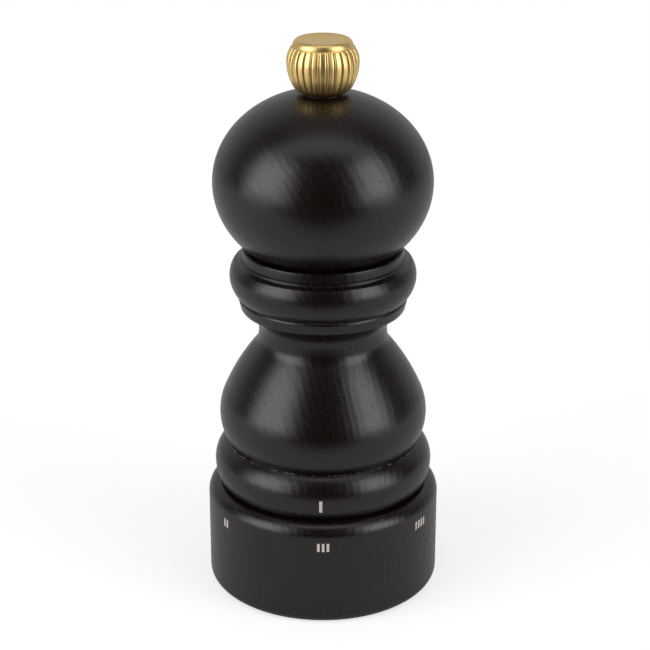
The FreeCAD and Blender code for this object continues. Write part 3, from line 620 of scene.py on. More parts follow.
# %% Band, collar and rim
COVE_LEAN = (0.22, 0.62)
BAND_FLOOR = BELLY_CENTRE[1] + 23.5
BAND_TOP = BAND_FLOOR + 3.05
BAND_RADIUS = 17.85
BAND_FOOT = 17.5
BAND_EDGE = 1.1
COLLAR_ARC = 5.2
COLLAR_CENTRE = (14.45, BAND_TOP + 4.55)
COLLAR_TOP = BAND_TOP + 7.95
COLLAR_MIDDLE = (COLLAR_CENTRE[0] + COLLAR_ARC, COLLAR_CENTRE[1])
COLLAR_FOOT = (17.65, BAND_TOP)
LOW_COLLAR = upright_at(COLLAR_FOOT, COLLAR_MIDDLE)
LEDGE_RADIUS = 17.40
LEDGE_FLOOR = COLLAR_TOP - 0.1
LEDGE_TOP = COLLAR_TOP + 0.35
RIM_FLOOR = COLLAR_TOP + 0.5
RIM_FOOT = 17.02
RIM_RADIUS = 16.95
print("collar up to", round(COLLAR_TOP, 2), "mm")


# %% Outline of the body
def on_arc(centre, reach, height):
    """Outer point of an arc at a height."""
    return (centre[0] + math.sqrt(reach ** 2 - (height - centre[1]) ** 2), height)


def at_lean(centre, reach, lean):
    """Point of an arc where its surface leans up by an angle."""
    return (centre[0] + reach * math.cos(lean), centre[1] + reach * math.sin(lean))


def lower_body():
    """From the seat of the mechanism round the bead, up the belly and to the neck."""
    bead_end = on_arc(BEAD_CENTRE, BEAD_ARC, BEAD_TOP)
    bead_edge = on_arc(BEAD_CENTRE, BEAD_ARC, BEAD_TOP - BEAD_WORN_SHEEN)
    belly_foot = on_arc(BELLY_CENTRE, BELLY_ARC, BEAD_TOP + QUIRK)
    belly_end = at_lean(BELLY_CENTRE, BELLY_ARC, BELLY_LEAN)
    neck_start = at_lean(NECK_CENTRE, -NECK_ARC, NECK_LEAN)

    points = [(SEAT_RADIUS, body_floor), (SKIRT_BORE, body_floor), (SKIRT_BORE, BEAD_FOOT[1])]
    points += [(*BEAD_FOOT, CRISP)]
    points += swing(LOW_BEAD, BEAD_FOOT, BEAD_MIDDLE, 10)
    points += swing(BEAD_CENTRE, BEAD_MIDDLE, bead_edge, 14)
    points += swing(BEAD_CENTRE, bead_edge, bead_end, 4)
    points += [(belly_foot[0] - QUIRK, BEAD_TOP, CRISP), (*belly_foot, CRISP)]
    points += swing(BELLY_CENTRE, belly_foot, belly_end, 28)
    points += through(belly_end, SHOULDER, neck_start, 14)
    points += swing(NECK_CENTRE, neck_start, NECK, 12)
    return points


def upper_body():
    """From the neck over the hollow, the band and the collar to the rim, and down the chamber."""
    cove_end = (BAND_FOOT - BAND_EDGE, BAND_FLOOR)
    cove_radius = NECK[0] + (cove_end[0] - NECK[0]) * COVE_LEAN[0]
    cove = (cove_radius, NECK[1] + (BAND_FLOOR - NECK[1]) * COVE_LEAN[1])
    band_edge = (BAND_FOOT, BAND_FLOOR + BAND_EDGE)
    collar_end = on_arc(COLLAR_CENTRE, COLLAR_ARC, COLLAR_TOP - QUIRK)

    points = through(NECK, cove, cove_end, 10)
    points += swing((cove_end[0], band_edge[1]), cove_end, band_edge, 4)
    points += [(BAND_RADIUS, BAND_TOP - QUIRK, SOFT), (BAND_RADIUS - QUIRK / 2, BAND_TOP - QUIRK / 3)]
    points += [COLLAR_FOOT]
    points += swing(LOW_COLLAR, COLLAR_FOOT, COLLAR_MIDDLE, 11)
    points += swing(COLLAR_CENTRE, COLLAR_MIDDLE, collar_end, 9)
    points += [(LEDGE_RADIUS, LEDGE_FLOOR, SOFT), (LEDGE_RADIUS, LEDGE_TOP, CRISP), (RIM_FOOT, RIM_FLOOR)]
    points += [(RIM_RADIUS, body_top, SOFT), (CHAMBER_RADIUS, body_top, SOFT)]
    points += [(CHAMBER_RADIUS, bridge_top), (SEAT_RADIUS, bridge_top)]
    return points


# %% Turn the body
CHAMBER_MARGIN = 0.05

body_piece = turned("body_turning", lower_body() + upper_body())
# The upper edge of the lower bead is painted pale, as wear and as a painted highlight.
paint_worn_sheen_edge(body_piece, on_arc(BEAD_CENTRE, BEAD_ARC, BEAD_TOP - BEAD_WORN_SHEEN / 2), 1.0)
fit(body_piece, "mill_body", "dark_wood", dark_wood, "body_shell")


def inside_body(radius, height):
    """The pepper chamber and the seat of the mechanism."""
    chamber = radius < CHAMBER_RADIUS + CHAMBER_MARGIN and height < body_top - SOFT
    seat = radius < SEAT_RADIUS + CHAMBER_MARGIN and height < bridge_top + CHAMBER_MARGIN
    return chamber or seat


paint_faces(body_piece, bare_wood, inside_body)

# %% [markdown]
# ## The head
# The head is a ball, a little flatter above than below, with a flat on top for the knob and a tenon below
# that keeps it on the body. It is two quarter ellipses in the outline. The tenon and the hole for the shaft
# are left bare, as on a real mill, because lacquer there would only chip.

# %% Outline of the head
HEAD_RADIUS = 22.85
HEAD_FOOT_RADIUS = 16.0
HEAD_LOWER_AXIS = 19.6
HEAD_UPPER_AXIS = 19.2
HEAD_FLAT_RADIUS = 5.7
HEAD_GAP = 0.3
TENON_RADIUS = 9.3
SHAFT_HOLE = 3.836
BUSH_RADIUS = 4.1
head_floor = body_top + HEAD_GAP
head_top = top_of("head_shell")
head_middle = head_floor + HEAD_LOWER_AXIS * math.sqrt(1 - (HEAD_FOOT_RADIUS / HEAD_RADIUS) ** 2)


def ellipse(tall, first, last, count):
    """Points of an ellipse about the middle of the head, between two angles, after the first."""
    points = []
    for index in range(1, count + 1):
        angle = first + (last - first) * index / count
        points.append((HEAD_RADIUS * math.cos(angle), head_middle + tall * math.sin(angle)))
    return points


def head_corners():
    low = -math.acos(HEAD_FOOT_RADIUS / HEAD_RADIUS)
    high = math.acos(HEAD_FLAT_RADIUS / HEAD_RADIUS)
    tenon_floor = floor_of("head_shell")
    bush_floor = floor_of("head_bush")
    points = [(SHAFT_HOLE, tenon_floor), (TENON_RADIUS, tenon_floor, SOFT), (TENON_RADIUS, head_floor)]
    points += [(HEAD_FOOT_RADIUS, head_floor, SOFT)]
    points += ellipse(HEAD_LOWER_AXIS, low, 0.0, 22)
    points += ellipse(HEAD_UPPER_AXIS, 0.0, high, 36)
    points += [(BUSH_RADIUS, head_top, CRISP), (BUSH_RADIUS, bush_floor), (SHAFT_HOLE, bush_floor)]
    return points


print("head widest at", round(head_middle, 2), "mm")

# %% Turn the head
TENON_MARGIN = 0.01


def inside_head(radius, height):
    """The tenon and the hole through the head."""
    hole = radius < BUSH_RADIUS + TENON_MARGIN
    tenon = radius < TENON_RADIUS + TENON_MARGIN and height < head_floor
    return hole or tenon


head_piece = turned("head_turning", head_corners())
fit(head_piece, "head", "dark_wood", dark_wood, "head_shell")
paint_faces(head_piece, bare_wood, inside_head)

# %% [markdown]
# ## The base ring
# The ring is a short tube with a full round on its upper edge and a smaller one at the foot. Its upper edge
# stands as a lip round the sleeve's flange, and a recess below holds the adjusting nut. Fingers that turn it
# have rubbed a thin line on its shoulder, painted pale as wear and as a painted highlight. It is turned a
# hair under the solid's radius, so that the printed marks end flush with the solid and nothing stands out of
# the mill's box.

# %% Turn the base ring
PRINT_RELIEF = 0.02
RING_RADIUS = 24.99 - PRINT_RELIEF
RING_SHOULDER = 3.0
RING_FOOT_ROUND = 2.0
RING_LIP = 0.8
RING_LIP_RADIUS = 21.3
RING_RECESS = 21.9
RING_BORE = 19.0
RING_RECESS_TOP = 2.8
RING_WORN_SHEEN_LEAN = math.radians(52)
RING_WORN_SHEEN_STRENGTH = 0.72
ring_top = top_of("setting_ring")
shoulder_centre = (RING_RADIUS - RING_SHOULDER, ring_top - RING_SHOULDER)


def ring_corners():
    foot = RING_RADIUS - RING_FOOT_ROUND
    shoulder_end = (shoulder_centre[0], ring_top)
    points = [(RING_RECESS, 0.0, CRISP), (foot, 0.0)]
    points += swing((foot, RING_FOOT_ROUND), (foot, 0.0), (RING_RADIUS, RING_FOOT_ROUND), 8)
    points += [(RING_RADIUS, shoulder_centre[1])]
    points += swing(shoulder_centre, points[-1], shoulder_end, 14)
    points += [(RING_LIP_RADIUS, ring_top, CRISP), (RING_LIP_RADIUS, ring_top - RING_LIP)]
    points += [(RING_BORE, ring_top - RING_LIP), (RING_BORE, RING_RECESS_TOP)]
    points += [(RING_RECESS, RING_RECESS_TOP)]
    return points


ring_piece = turned("ring_turning", ring_corners())
# A line on the ring's shoulder is painted pale, as wear and as a painted highlight.
paint_worn_sheen_edge(ring_piece, at_lean(shoulder_centre, RING_SHOULDER, RING_WORN_SHEEN_LEAN), RING_WORN_SHEEN_STRENGTH)
fit(ring_piece, "base_ring", "dark_wood", dark_wood, "setting_ring")

# %% [markdown]
# ## The setting marks
# Six settings are printed round the ring as one to six strokes, 56 degrees apart, and one stroke on the lower
# bead of the body points at the setting in use. A stroke is a narrow strip: a short line drawn on the
# surface, spun through the stroke's width and thickened inwards, so it lies on the round of the wood. It is
# made once and copied to its places.

# %% Turn, copy and join
def take(piece):
    """Selects one piece and nothing else."""
    bpy.ops.object.select_all(action="DESELECT")
    piece.select_set(True)
    bpy.context.view_layer.objects.active = piece


def turn_piece(piece, angle):
    """Turns the selected piece about the axis of the mill, in its mesh."""
    piece.rotation_euler.z = angle
    bpy.ops.object.transform_apply(location=False, rotation=True, scale=False)


def copy_turned(piece, angle):
    """A copy with its own mesh, turned about the axis."""
    take(piece)
    bpy.ops.object.duplicate(linked=False)
    copy = bpy.context.object
    turn_piece(copy, angle)
    return copy


def join(pieces, name):
    """One object from several."""
    take(pieces[0])
    for piece in pieces[1:]:
        piece.select_set(True)
    bpy.ops.object.join()
    pieces[0].name = name
    return pieces[0]


# %% A printed stroke
STROKE_DEPTH = 0.06
STROKE_STEPS = 3


def stroke(name, line, width):
    """A thin strip on a turned surface, in the direction of the X axis."""
    piece = draw_outline(name, line)
    spread = width / line[0][0]
    bpy.ops.mesh.select_all(action="SELECT")
    bpy.ops.mesh.spin(steps=STROKE_STEPS, angle=spread, center=(0, 0, 0), axis=(0, 0, 1))
    bpy.ops.mesh.select_all(action="SELECT")
    bpy.ops.mesh.normals_make_consistent(inside=False)
    bpy.ops.object.mode_set(mode="OBJECT")
    middle = sum((vertex.co for vertex in piece.data.vertices), Vector()) / len(piece.data.vertices)
    turn_piece(piece, -math.atan2(middle.y, middle.x))
    return piece


def thicken(piece):
    """Gives printed strips their thickness, inwards."""
    take(piece)
    wall = piece.modifiers.new("print", "SOLIDIFY")
    wall.thickness = STROKE_DEPTH * MM
    wall.offset = -1.0
    bpy.ops.object.modifier_apply(modifier=wall.name)
    print(piece.name, len(piece.data.polygons), "faces")


# %% Print the settings
SETTINGS = 6
SETTING_STEP = 56.0
SETTING_AT_REST = 3
STROKE_WIDTH = 0.55
STROKE_PITCH = 1.0
STROKE_FLOOR = 17.25
STROKE_TOP = 19.15
FRONT = -90.0

print_radius = RING_RADIUS + PRINT_RELIEF
one_stroke = stroke("stroke", [(print_radius, STROKE_FLOOR), (print_radius, STROKE_TOP)], STROKE_WIDTH)
strokes = []
for setting in range(1, SETTINGS + 1):
    middle = math.radians(FRONT + (setting - SETTING_AT_REST) * SETTING_STEP)
    for index in range(setting):
        aside = (index - (setting - 1) / 2) * STROKE_PITCH / print_radius
        strokes.append(copy_turned(one_stroke, middle + aside))
bpy.data.objects.remove(one_stroke)
setting_marks = join(strokes, "setting_marks")
thicken(setting_marks)
fit(setting_marks, "base_ring", "pale_plastic", mark_paint)

# %% Print the pointer
POINTER_WIDTH = 0.65
POINTER_FLOOR = 25.5
POINTER_TOP = 28.2
POINTER_ASIDE = -1.2
POINTER_STEPS = 8

pointer_reach = BEAD_MIDDLE[0] - LOW_BEAD[0] + PRINT_RELIEF
pointer_line = []
for index in range(POINTER_STEPS + 1):
    height = POINTER_FLOOR + (POINTER_TOP - POINTER_FLOOR) * index / POINTER_STEPS
    pointer_line.append(on_arc(LOW_BEAD, pointer_reach, height))
pointer_mark = stroke("pointer_mark", pointer_line, POINTER_WIDTH)
turn_piece(pointer_mark, math.radians(FRONT + POINTER_ASIDE))
thicken(pointer_mark)
fit(pointer_mark, "mill_body", "pale_plastic", mark_paint)

# %% [markdown]
# ## The knob
# The knob is a barrel with 28 ribs that end below a smooth rim bead round a shallow dish. It is turned first
# as a plain barrel, with twelve columns of faces to each rib. The columns beside a groove are then drawn in
# towards the axis, most in the groove itself, which leaves flat, rounded ribs with a fine line between them.
# Each end of the ribs fades out over a few rows.

# %% Outline of the knob
KNOB_RADIUS = 7.4
KNOB_BORE = 2.45
KNOB_BASE_RADIUS = 4.0
KNOB_WAIST = 6.2
KNOB_FOOT = (6.25, 1.6)
KNOB_FOOT_ROUND = (5.42, 0.56)
KNOB_RIM = (6.62, 9.0)
RIB_END = (6.34, 9.44)
RIM_GROOVE = (6.10, 9.48)
RIM_BEAD = (5.92, 10.30)
RIM_CREST = (5.35, 10.8)
DISH_EDGE = (5.0, 10.66)
DISH_RADIUS = 4.65
DISH_DEPTH = 0.22
KNOB_CAP = 3.5
knob_floor = floor_of("top_knob")
knob_top = top_of("top_knob")


def knob_corners():
    tall = knob_top - knob_floor
    waist = (KNOB_RADIUS, KNOB_WAIST)
    base = (KNOB_BASE_RADIUS, 0.0)
    points = [(KNOB_BORE, 0.0, CRISP), base]
    points += through(base, KNOB_FOOT_ROUND, KNOB_FOOT, 10)
    points += swing(upright_at(KNOB_FOOT, waist), KNOB_FOOT, waist, 14)
    points += swing(upright_at(KNOB_RIM, waist), waist, KNOB_RIM, 12)
    points += [(*RIB_END, SOFT), (*RIM_GROOVE, CRISP)]
    points += through(RIM_GROOVE, RIM_BEAD, RIM_CREST, 10)
    points += [(*DISH_EDGE, SOFT), (DISH_RADIUS, tall - DISH_DEPTH), (0.0, tall - DISH_DEPTH)]
    points += [(0.0, tall - KNOB_CAP), (KNOB_BORE, tall - KNOB_CAP)]
    return [(radius, height + knob_floor, *ease) for radius, height, *ease in points]


# %% Turn the knob
KNOB_RIBS = 28
COLUMNS = 12

knob_piece = turned("knob_ribbed", knob_corners(), steps=KNOB_RIBS * COLUMNS)
fit(knob_piece, "knob", "knob_brass", knob_brass, "top_knob")

# %% Where the grooves are
RIB_FADE_FLOOR = 0.30
RIB_FADE_LENGTH = 1.2
RIB_FADE_TOP = 0.55
RIB_OVERRUN = 0.05
BASE_MARGIN = 1.02
STRENGTHS = (0.25, 0.5, 0.75, 1.0)


def column_of(place):
    """How many columns a place is from the nearest groove."""
    turn = math.degrees(math.atan2(place.y, place.x)) * KNOB_RIBS * COLUMNS / 360.0
    across = round(turn - COLUMNS / 2) % COLUMNS
    return min(across, COLUMNS - across)


def rib_strength(place):
    """1 along the ribs, fading to 0 at their ends and inside the knob."""
    height = place.z / MM - knob_floor
    if place.xy.length < KNOB_BASE_RADIUS * MM * BASE_MARGIN:
        return 0.0
    rise = min(max((height - RIB_FADE_FLOOR) / RIB_FADE_LENGTH, 0.0), 1.0)
    fall = min(max((RIB_END[1] + RIB_OVERRUN - height) / RIB_FADE_TOP, 0.0), 1.0)
    return round(min(rise, fall) * len(STRENGTHS)) / len(STRENGTHS)


places = [(column_of(vertex.co), rib_strength(vertex.co)) for vertex in knob_piece.data.vertices]
print("ribbed points:", sum(strength > 0 for column, strength in places))

# %% Draw in the grooves
GROOVE_DEPTH = 0.36
RIB_FLATNESS = 6


def pick(piece, chosen):
    """Enters edit mode with only the chosen vertices selected."""
    bpy.context.tool_settings.mesh_select_mode = (True, False, False)
    bpy.ops.object.mode_set(mode="EDIT")
    bpy.ops.mesh.select_all(action="DESELECT")
    bpy.ops.object.mode_set(mode="OBJECT")
    for vertex, wanted in zip(piece.data.vertices, chosen):
        vertex.select = wanted
    bpy.ops.object.mode_set(mode="EDIT")


take(knob_piece)
for column in range(COLUMNS // 2):
    share = (1 - column / (COLUMNS / 2)) ** RIB_FLATNESS
    for strength in STRENGTHS:
        pick(knob_piece, [place == (column, strength) for place in places])
        drawn = 1 - GROOVE_DEPTH * share * strength / KNOB_RADIUS
        bpy.ops.transform.resize(value=(drawn, drawn, 1.0), center_override=(0, 0, 0))
        bpy.ops.object.mode_set(mode="OBJECT")
print("knob:", len(knob_piece.data.polygons), "faces,", KNOB_RIBS, "ribs")

# %% Tarnish the grooves and paint shade at the foot
# Painted shade at the knob's foot, in the same brown as the tarnish, darker towards the bottom.
FOOT_PAINTED_SHADE = 0.75
FOOT_HEIGHT = 2.6
TARNISH_FADE = 0.7
ROUND_SMOOTH = math.radians(50)

# The groove attribute carries tarnish in the grooves and painted shade at the foot.
groove = knob_piece.data.attributes.new("groove", "FLOAT", "POINT")
for index, (column, strength) in enumerate(places):
    height = knob_piece.data.vertices[index].co.z / MM - knob_floor
    foot = FOOT_PAINTED_SHADE * max(0.0, 1 - height / FOOT_HEIGHT)
    groove.data[index].value = max(foot, strength * max(0.0, 1 - TARNISH_FADE * column))
bpy.ops.object.shade_smooth_by_angle(angle=ROUND_SMOOTH)
print("tarnished points:", sum(point.value > 0 for point in groove.data))

# %% [markdown]
# ## The shaft
# The shaft shows when the head is lifted off. It is a drawn square bar with softened edges on a turned
# journal, and both its ends are threaded. A real thread is a groove on a helix, so the Screw modifier sweeps
# one tooth of the thread round the axis, a pitch higher with each turn. A few turns too many are swept, each
# end is cut off level, and the open ends are filled. The parts meet face to face and are joined into one
# piece.

# %% Square bars
EDGE_STEPS = 3


def square_bar(name, width, floor, top, edge):
    """A square bar on the axis, with its long edges bevelled."""
    bpy.ops.object.select_all(action="DESELECT")
    bpy.ops.mesh.primitive_plane_add(size=width * MM, location=(0, 0, floor * MM))
    bar = bpy.context.object
    bar.name = name
    bpy.ops.object.transform_apply(location=True, rotation=False, scale=False)
    bpy.ops.object.mode_set(mode="EDIT")
    bpy.ops.mesh.select_all(action="SELECT")
    bpy.ops.mesh.bevel(offset=edge * MM, segments=EDGE_STEPS, affect="VERTICES")
    bpy.ops.mesh.select_all(action="SELECT")
    bpy.ops.mesh.extrude_region_move(TRANSFORM_OT_translate={"value": (0, 0, (top - floor) * MM)})
    close_up(SMOOTH)
    return bar


# %% Sweeps and threads
THREAD_DEPTH = 0.55
FLANK_END = 0.42
CREST_END = 0.54
TOOTH_END = 0.96
LEAD_TURNS = 2
SPARE_TURNS = 3
THREAD_STEPS = 40
THREAD_SMOOTH = math.radians(30)
CUT_NEAR = 1e-7


def sweep_helix(piece, angle, rise, steps, rounds=1):
    """Sweeps a section round the axis while it rises, round after round."""
    helix = piece.modifiers.new("helix", "SCREW")
    helix.angle = angle
    helix.screw_offset = rise
    helix.iterations = rounds
    helix.steps = steps
    helix.render_steps = steps
    bpy.ops.object.modifier_apply(modifier=helix.name)
    bpy.ops.object.mode_set(mode="EDIT")


def fill_ends():
    """Closes the open ends of what was swept."""
    bpy.ops.mesh.select_all(action="DESELECT")
    bpy.ops.mesh.select_non_manifold()
    bpy.ops.mesh.fill_holes(sides=0)


def threaded_rod(name, radius, pitch, floor, top):
    """A rod with a right-hand thread, cut flat at both ends."""
    core = radius - THREAD_DEPTH * pitch
    start = floor - LEAD_TURNS * pitch
    tooth = [(core, start), (radius, start + FLANK_END * pitch), (radius, start + CREST_END * pitch)]
    tooth += [(core, start + TOOTH_END * pitch), (core, start + pitch)]
    rod = draw_outline(name, tooth)
    bpy.ops.object.mode_set(mode="OBJECT")
    rounds = math.ceil((top - floor) / pitch) + SPARE_TURNS
    sweep_helix(rod, 2 * math.pi, pitch * MM, THREAD_STEPS, rounds)
    bpy.ops.mesh.select_all(action="SELECT")
    bpy.ops.mesh.remove_doubles(threshold=MERGE * MM)
    for height, way in ((floor, 1), (top, -1)):
        bpy.ops.mesh.select_all(action="SELECT")
        bpy.ops.mesh.bisect(plane_co=(0, 0, height * MM), plane_no=(0, 0, way), clear_inner=True,
                            threshold=CUT_NEAR)
    fill_ends()
    close_up(THREAD_SMOOTH)
    print("thread", name, round((top - floor) / pitch, 1), "turns,", len(rod.data.polygons), "faces")
    return rod


# %% Sizes of the shaft
SHAFT_SQUARE = 5.0
SHAFT_EDGE = 0.35
TIP_RADIUS = 2.4
TIP_PITCH = 0.8
JOURNAL = 3.0
JOURNAL_STEPS = 64
SHOULDER_RADIUS = 4.2
SHOULDER_PLAY = 0.05
SHOULDER_THICK = 1.4
CLIP_GROOVE = 2.45
BURR_SQUARE = 4.143
BURR_EDGE = 0.2
STUD_RADIUS = 2.0
STUD_PITCH = 0.7
shaft_floor = floor_of("drive_shaft")
shaft_top = top_of("drive_shaft")
tip_floor = floor_of("head_bush")
burr_top = top_of("inner_burr")
burr_seat = top_of("burr_washer")
shoulder_floor = top_of("bridge_bush") + SHOULDER_PLAY
shoulder_top = shoulder_floor + SHOULDER_THICK
clip_floor = floor_of("retaining_clip")
clip_top = top_of("retaining_clip")
print("shaft from", round(shaft_floor, 2), "to", round(shaft_top, 2), "mm")

# %% Build the shaft
journal = [(0.0, burr_top), (JOURNAL, burr_top, CRISP), (JOURNAL, clip_floor), (CLIP_GROOVE, clip_floor)]
journal += [(CLIP_GROOVE, clip_top), (JOURNAL, clip_top), (JOURNAL, shoulder_floor)]
journal += [(SHOULDER_RADIUS, shoulder_floor, CRISP), (SHOULDER_RADIUS, shoulder_top, CRISP)]
journal += [(0.0, shoulder_top)]
shaft_parts = [
    square_bar("shaft square", SHAFT_SQUARE, shoulder_top, tip_floor, SHAFT_EDGE),
    turned("shaft journal", journal, steps=JOURNAL_STEPS),
    square_bar("burr square", BURR_SQUARE, burr_seat, burr_top, BURR_EDGE),
    threaded_rod("shaft tip", TIP_RADIUS, TIP_PITCH, tip_floor, shaft_top),
    threaded_rod("shaft stud", STUD_RADIUS, STUD_PITCH, shaft_floor, burr_seat),
]
shaft = join(shaft_parts, "shaft_threaded")
fit(shaft, "drive", "bright_steel", bright_steel, "drive_shaft")
print("shaft:", len(shaft.data.polygons), "faces")

# %% [markdown]
# ## The coil spring
# A spring is wire wound on a rod. One circle, the section of the wire, is swept along a helix in the same way
# as the thread, and its two ends are filled. Its lower end stands on the outer burr, which the base ring
# lifts and lowers, and its upper end on the fixed sleeve.

# %% Wind the spring
SPRING_RADIUS = 10.75
WIRE = 0.9
WIRE_SIDES = 16
SPRING_TURNS = 3.5
SPRING_STEPS = 168
SEAT_GAP = 0.1
spring_floor = top_of("outer_burr") + SEAT_GAP + WIRE / 2
spring_top = top_of("burr_spring") - WIRE / 2

bpy.ops.object.select_all(action="DESELECT")
bpy.ops.mesh.primitive_circle_add(
    vertices=WIRE_SIDES, radius=WIRE / 2 * MM, rotation=(math.pi / 2, 0, 0),
    location=(SPRING_RADIUS * MM, 0, spring_floor * MM))
spring = bpy.context.object
spring.name = "coil_spring"
bpy.ops.object.transform_apply(location=True, rotation=True, scale=False)
sweep_helix(spring, 2 * math.pi * SPRING_TURNS, (spring_top - spring_floor) * MM, SPRING_STEPS)
fill_ends()
close_up(ROUND_SMOOTH)
spring.data.materials.append(spring_steel)
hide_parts("burr_spring")
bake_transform(spring)
print("spring:", SPRING_TURNS, "turns,", len(spring.data.polygons), "faces")

# %% [markdown]
# ## The studio
# The mill stands on a white table. Two tall soft boxes stand to the left and right of the camera and a panel
# hangs above and in front, which leaves a dark stripe down the middle of every round, where the lacquer
# mirrors the dark room round the camera. Each box is brighter in its middle, as a lamp behind cloth is. The
# table looks white to the camera alone, with the shadow near the mill. What the lacquer mirrors is a plain
# pale table with a dark wedge towards the camera, because white from all sides would wash the wood out.

# %% Paint of the table
TABLE_WHITE = ((0.92, 0.92, 0.92), (0.96, 0.96, 0.96))
TABLE_MIRRORED = ((0.03, 0.03, 0.03), (0.54, 0.54, 0.54))
SHADOW_SHARE = 0.35
SHADOW_RANGE = (0.22, 0.05)
FADE_RANGE = (-0.21, -0.05)
FADE_ASIDE = 0.45


def white_top(shade):
    speck = grains(shade, (3, 3, 3), detail=3.0)
    return {
        "Base Color": mixed(shade, *TABLE_WHITE, speck),
        "Roughness": 0.6 + speck * 0.1,
    }


table_paint = finish("white table", white_top, {"Specular IOR Level": 0.0})
tree = table_paint.node_tree
paper = Shade(tree)
lit = Shade(tree, tree.nodes["Principled BSDF"].outputs[0])
white = paper.node("ShaderNodeEmission", inputs={"Color": (1, 1, 1, 1), "Strength": 1.0})
away = paper.node("ShaderNodeVectorMath", {"operation": "LENGTH"}, {0: spot(paper)}, output="Value")
shadow = SHADOW_SHARE * between(paper, *SHADOW_RANGE, away)
seen_table = paper.node("ShaderNodeMixShader", inputs={0: shadow, 1: white, 2: lit})
sideways = paper.node("ShaderNodeSeparateXYZ", inputs={0: spot(paper)}, output="X")
backwards = paper.node("ShaderNodeSeparateXYZ", inputs={0: spot(paper)}, output="Y")
pale = between(paper, *FADE_RANGE, backwards + FADE_ASIDE * paper.maths("ABSOLUTE", sideways))
mirrored_table = paper.node("ShaderNodeBsdfDiffuse", inputs={"Color": mixed(paper, *TABLE_MIRRORED, pale)})
to_camera = paper.node("ShaderNodeLightPath", output="Is Camera Ray")
surface = paper.node("ShaderNodeMixShader", inputs={0: to_camera, 1: mirrored_table, 2: seen_table})
tree.links.new(surface.socket, tree.nodes["Material Output"].inputs["Surface"])

# %% Table
TABLE_SIZE = 3.0
TABLE_CUTS = 4

bpy.ops.object.select_all(action="DESELECT")
bpy.ops.mesh.primitive_plane_add(size=TABLE_SIZE)
table = bpy.context.object
table.name = "table"
bpy.ops.object.mode_set(mode="EDIT")
bpy.ops.mesh.subdivide(number_cuts=TABLE_CUTS)
bpy.ops.object.mode_set(mode="OBJECT")
table.data.materials.append(table_paint)
print("table:", TABLE_SIZE, "m wide")

# %% Lamps
def panel(name, place, aim, size, radiance):
    """A rectangular lamp of a given brightness that looks at a point."""
    bpy.ops.object.light_add(type="AREA", location=place)
    lamp = bpy.context.object
    lamp.name = name
    lamp.rotation_euler = (Vector(place) - Vector(aim)).to_track_quat("Z", "Y").to_euler()
    lamp.data.shape = "RECTANGLE"
    lamp.data.size = size[0]
    lamp.data.size_y = size[1]
    lamp.data.energy = radiance * math.pi * size[0] * size[1]
    print(name, "at", [round(x, 3) for x in place], "energy", round(lamp.data.energy, 2))


def beside(azimuth, distance, height):
    """A place round the mill, in degrees from the camera's side, at a height."""
    turn = math.radians(azimuth)
    return (math.sin(turn) * distance, -math.cos(turn) * distance, height)


# %% Soft boxes and ceiling
BOX_HEIGHT = 0.40
CLOTH_DISTANCE = 0.62
CLOTH_TALL = 0.78
CLOTH_LIGHT = 1.52
LAMP_DISTANCE = 0.66
LAMP_SHARE = 0.66
LAMP_TALL = 0.60
LAMP_LIGHT = 1.995
SOFT_BOXES = (("left box", -61, 0.66), ("right box", 58.5, 0.52))
CEILING_FRONT = -0.23
CEILING_HEIGHT = 0.90
CEILING_SIZE = (1.45, 0.34)
CEILING_LIGHT = 0.95


def soft_box(name, azimuth, width):
    """A tall cloth panel and the brighter patch of the lamp behind it."""
    aim = (0, 0, BOX_HEIGHT)
    cloth = beside(azimuth, CLOTH_DISTANCE, BOX_HEIGHT)
    panel(name + " cloth", cloth, aim, (width, CLOTH_TALL), CLOTH_LIGHT)
    lamp = beside(azimuth, LAMP_DISTANCE, BOX_HEIGHT)
    panel(name + " lamp", lamp, aim, (width * LAMP_SHARE, LAMP_TALL), LAMP_LIGHT)


for name, azimuth, width in SOFT_BOXES:
    soft_box(name, azimuth, width)
ceiling_place = (0.0, CEILING_FRONT, CEILING_HEIGHT)
panel("front ceiling", ceiling_place, (0.0, CEILING_FRONT, 0.0), CEILING_SIZE, CEILING_LIGHT)

# %% World
ROOM_FRONT = 0.008
ROOM_ABOVE = 0.28
ABOVE_RANGE = (0.80, 0.97)
ROOM_BEHIND = 0.50
BEHIND_RANGE = (0.05, 0.75)
FILL = 0.62

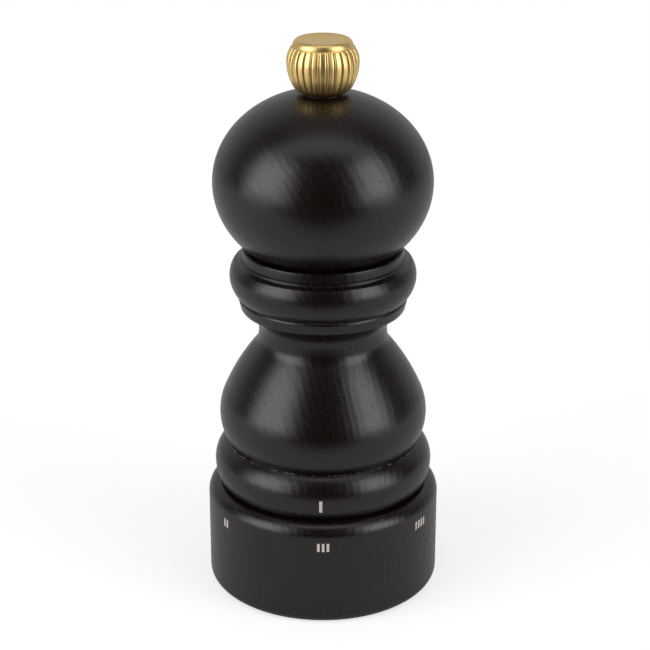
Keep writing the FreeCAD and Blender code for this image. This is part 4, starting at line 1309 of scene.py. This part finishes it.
world = bpy.data.worlds.new("white studio")
bpy.context.scene.world = world
world.use_nodes = True
sky = Shade(world.node_tree)
way = sky.node("ShaderNodeTexCoord", output="Generated")
back = sky.node("ShaderNodeSeparateXYZ", inputs={0: way}, output="Y")
upwards = sky.node("ShaderNodeSeparateXYZ", inputs={0: way}, output="Z")
behind = between(sky, *BEHIND_RANGE, back)
above = between(sky, *ABOVE_RANGE, upwards)
mirrored_room = sky.maths("MAXIMUM", behind * ROOM_BEHIND, above * ROOM_ABOVE) + ROOM_FRONT
glossy = sky.node("ShaderNodeLightPath", output="Is Glossy Ray")
seen_sky = sky.node("ShaderNodeLightPath", output="Is Camera Ray")
glow = sky.maths("MAXIMUM", seen_sky, glossy * mirrored_room + (1.0 - glossy) * FILL)
backdrop = world.node_tree.nodes["Background"]
world.node_tree.links.new(glow.socket, backdrop.inputs["Strength"])
backdrop.inputs["Color"].default_value = (1.0, 1.0, 1.0, 1.0)
print("world:", world.name)

# %% [markdown]
# ## The camera
# The photograph looks down on the mill by about 22 degrees from 40 cm away, which its outline gives: the
# ring's foot is a wide ellipse, and the head looks larger than the base. The camera aims a little below the
# middle, so that the mill sits in the frame as it does in the photograph.

# %% Place the camera
CAMERA_DISTANCE = 0.400
CAMERA_ELEVATION = math.radians(21.83)
LOOK_HEIGHT = 0.060
CAMERA_AIM = Vector((0.00042, 0.0, 0.05816))
PHOTO_WIDTH = 650
FOCAL_PIXELS = 1886.0
SENSOR = 36.0

camera_data = bpy.data.cameras.new("camera")
camera = bpy.data.objects.new("camera", camera_data)
bpy.context.scene.collection.objects.link(camera)
camera_back = CAMERA_DISTANCE * math.cos(CAMERA_ELEVATION)
camera.location = (0.0, -camera_back, LOOK_HEIGHT + CAMERA_DISTANCE * math.sin(CAMERA_ELEVATION))
camera.rotation_euler = (CAMERA_AIM - camera.location).to_track_quat("-Z", "Y").to_euler()
camera_data.sensor_width = SENSOR
camera_data.lens = FOCAL_PIXELS / PHOTO_WIDTH * SENSOR
bpy.context.scene.camera = camera
bpy.context.scene.view_settings.view_transform = "Standard"
print("camera at", [round(x, 4) for x in camera.location], "lens", round(camera_data.lens, 1))
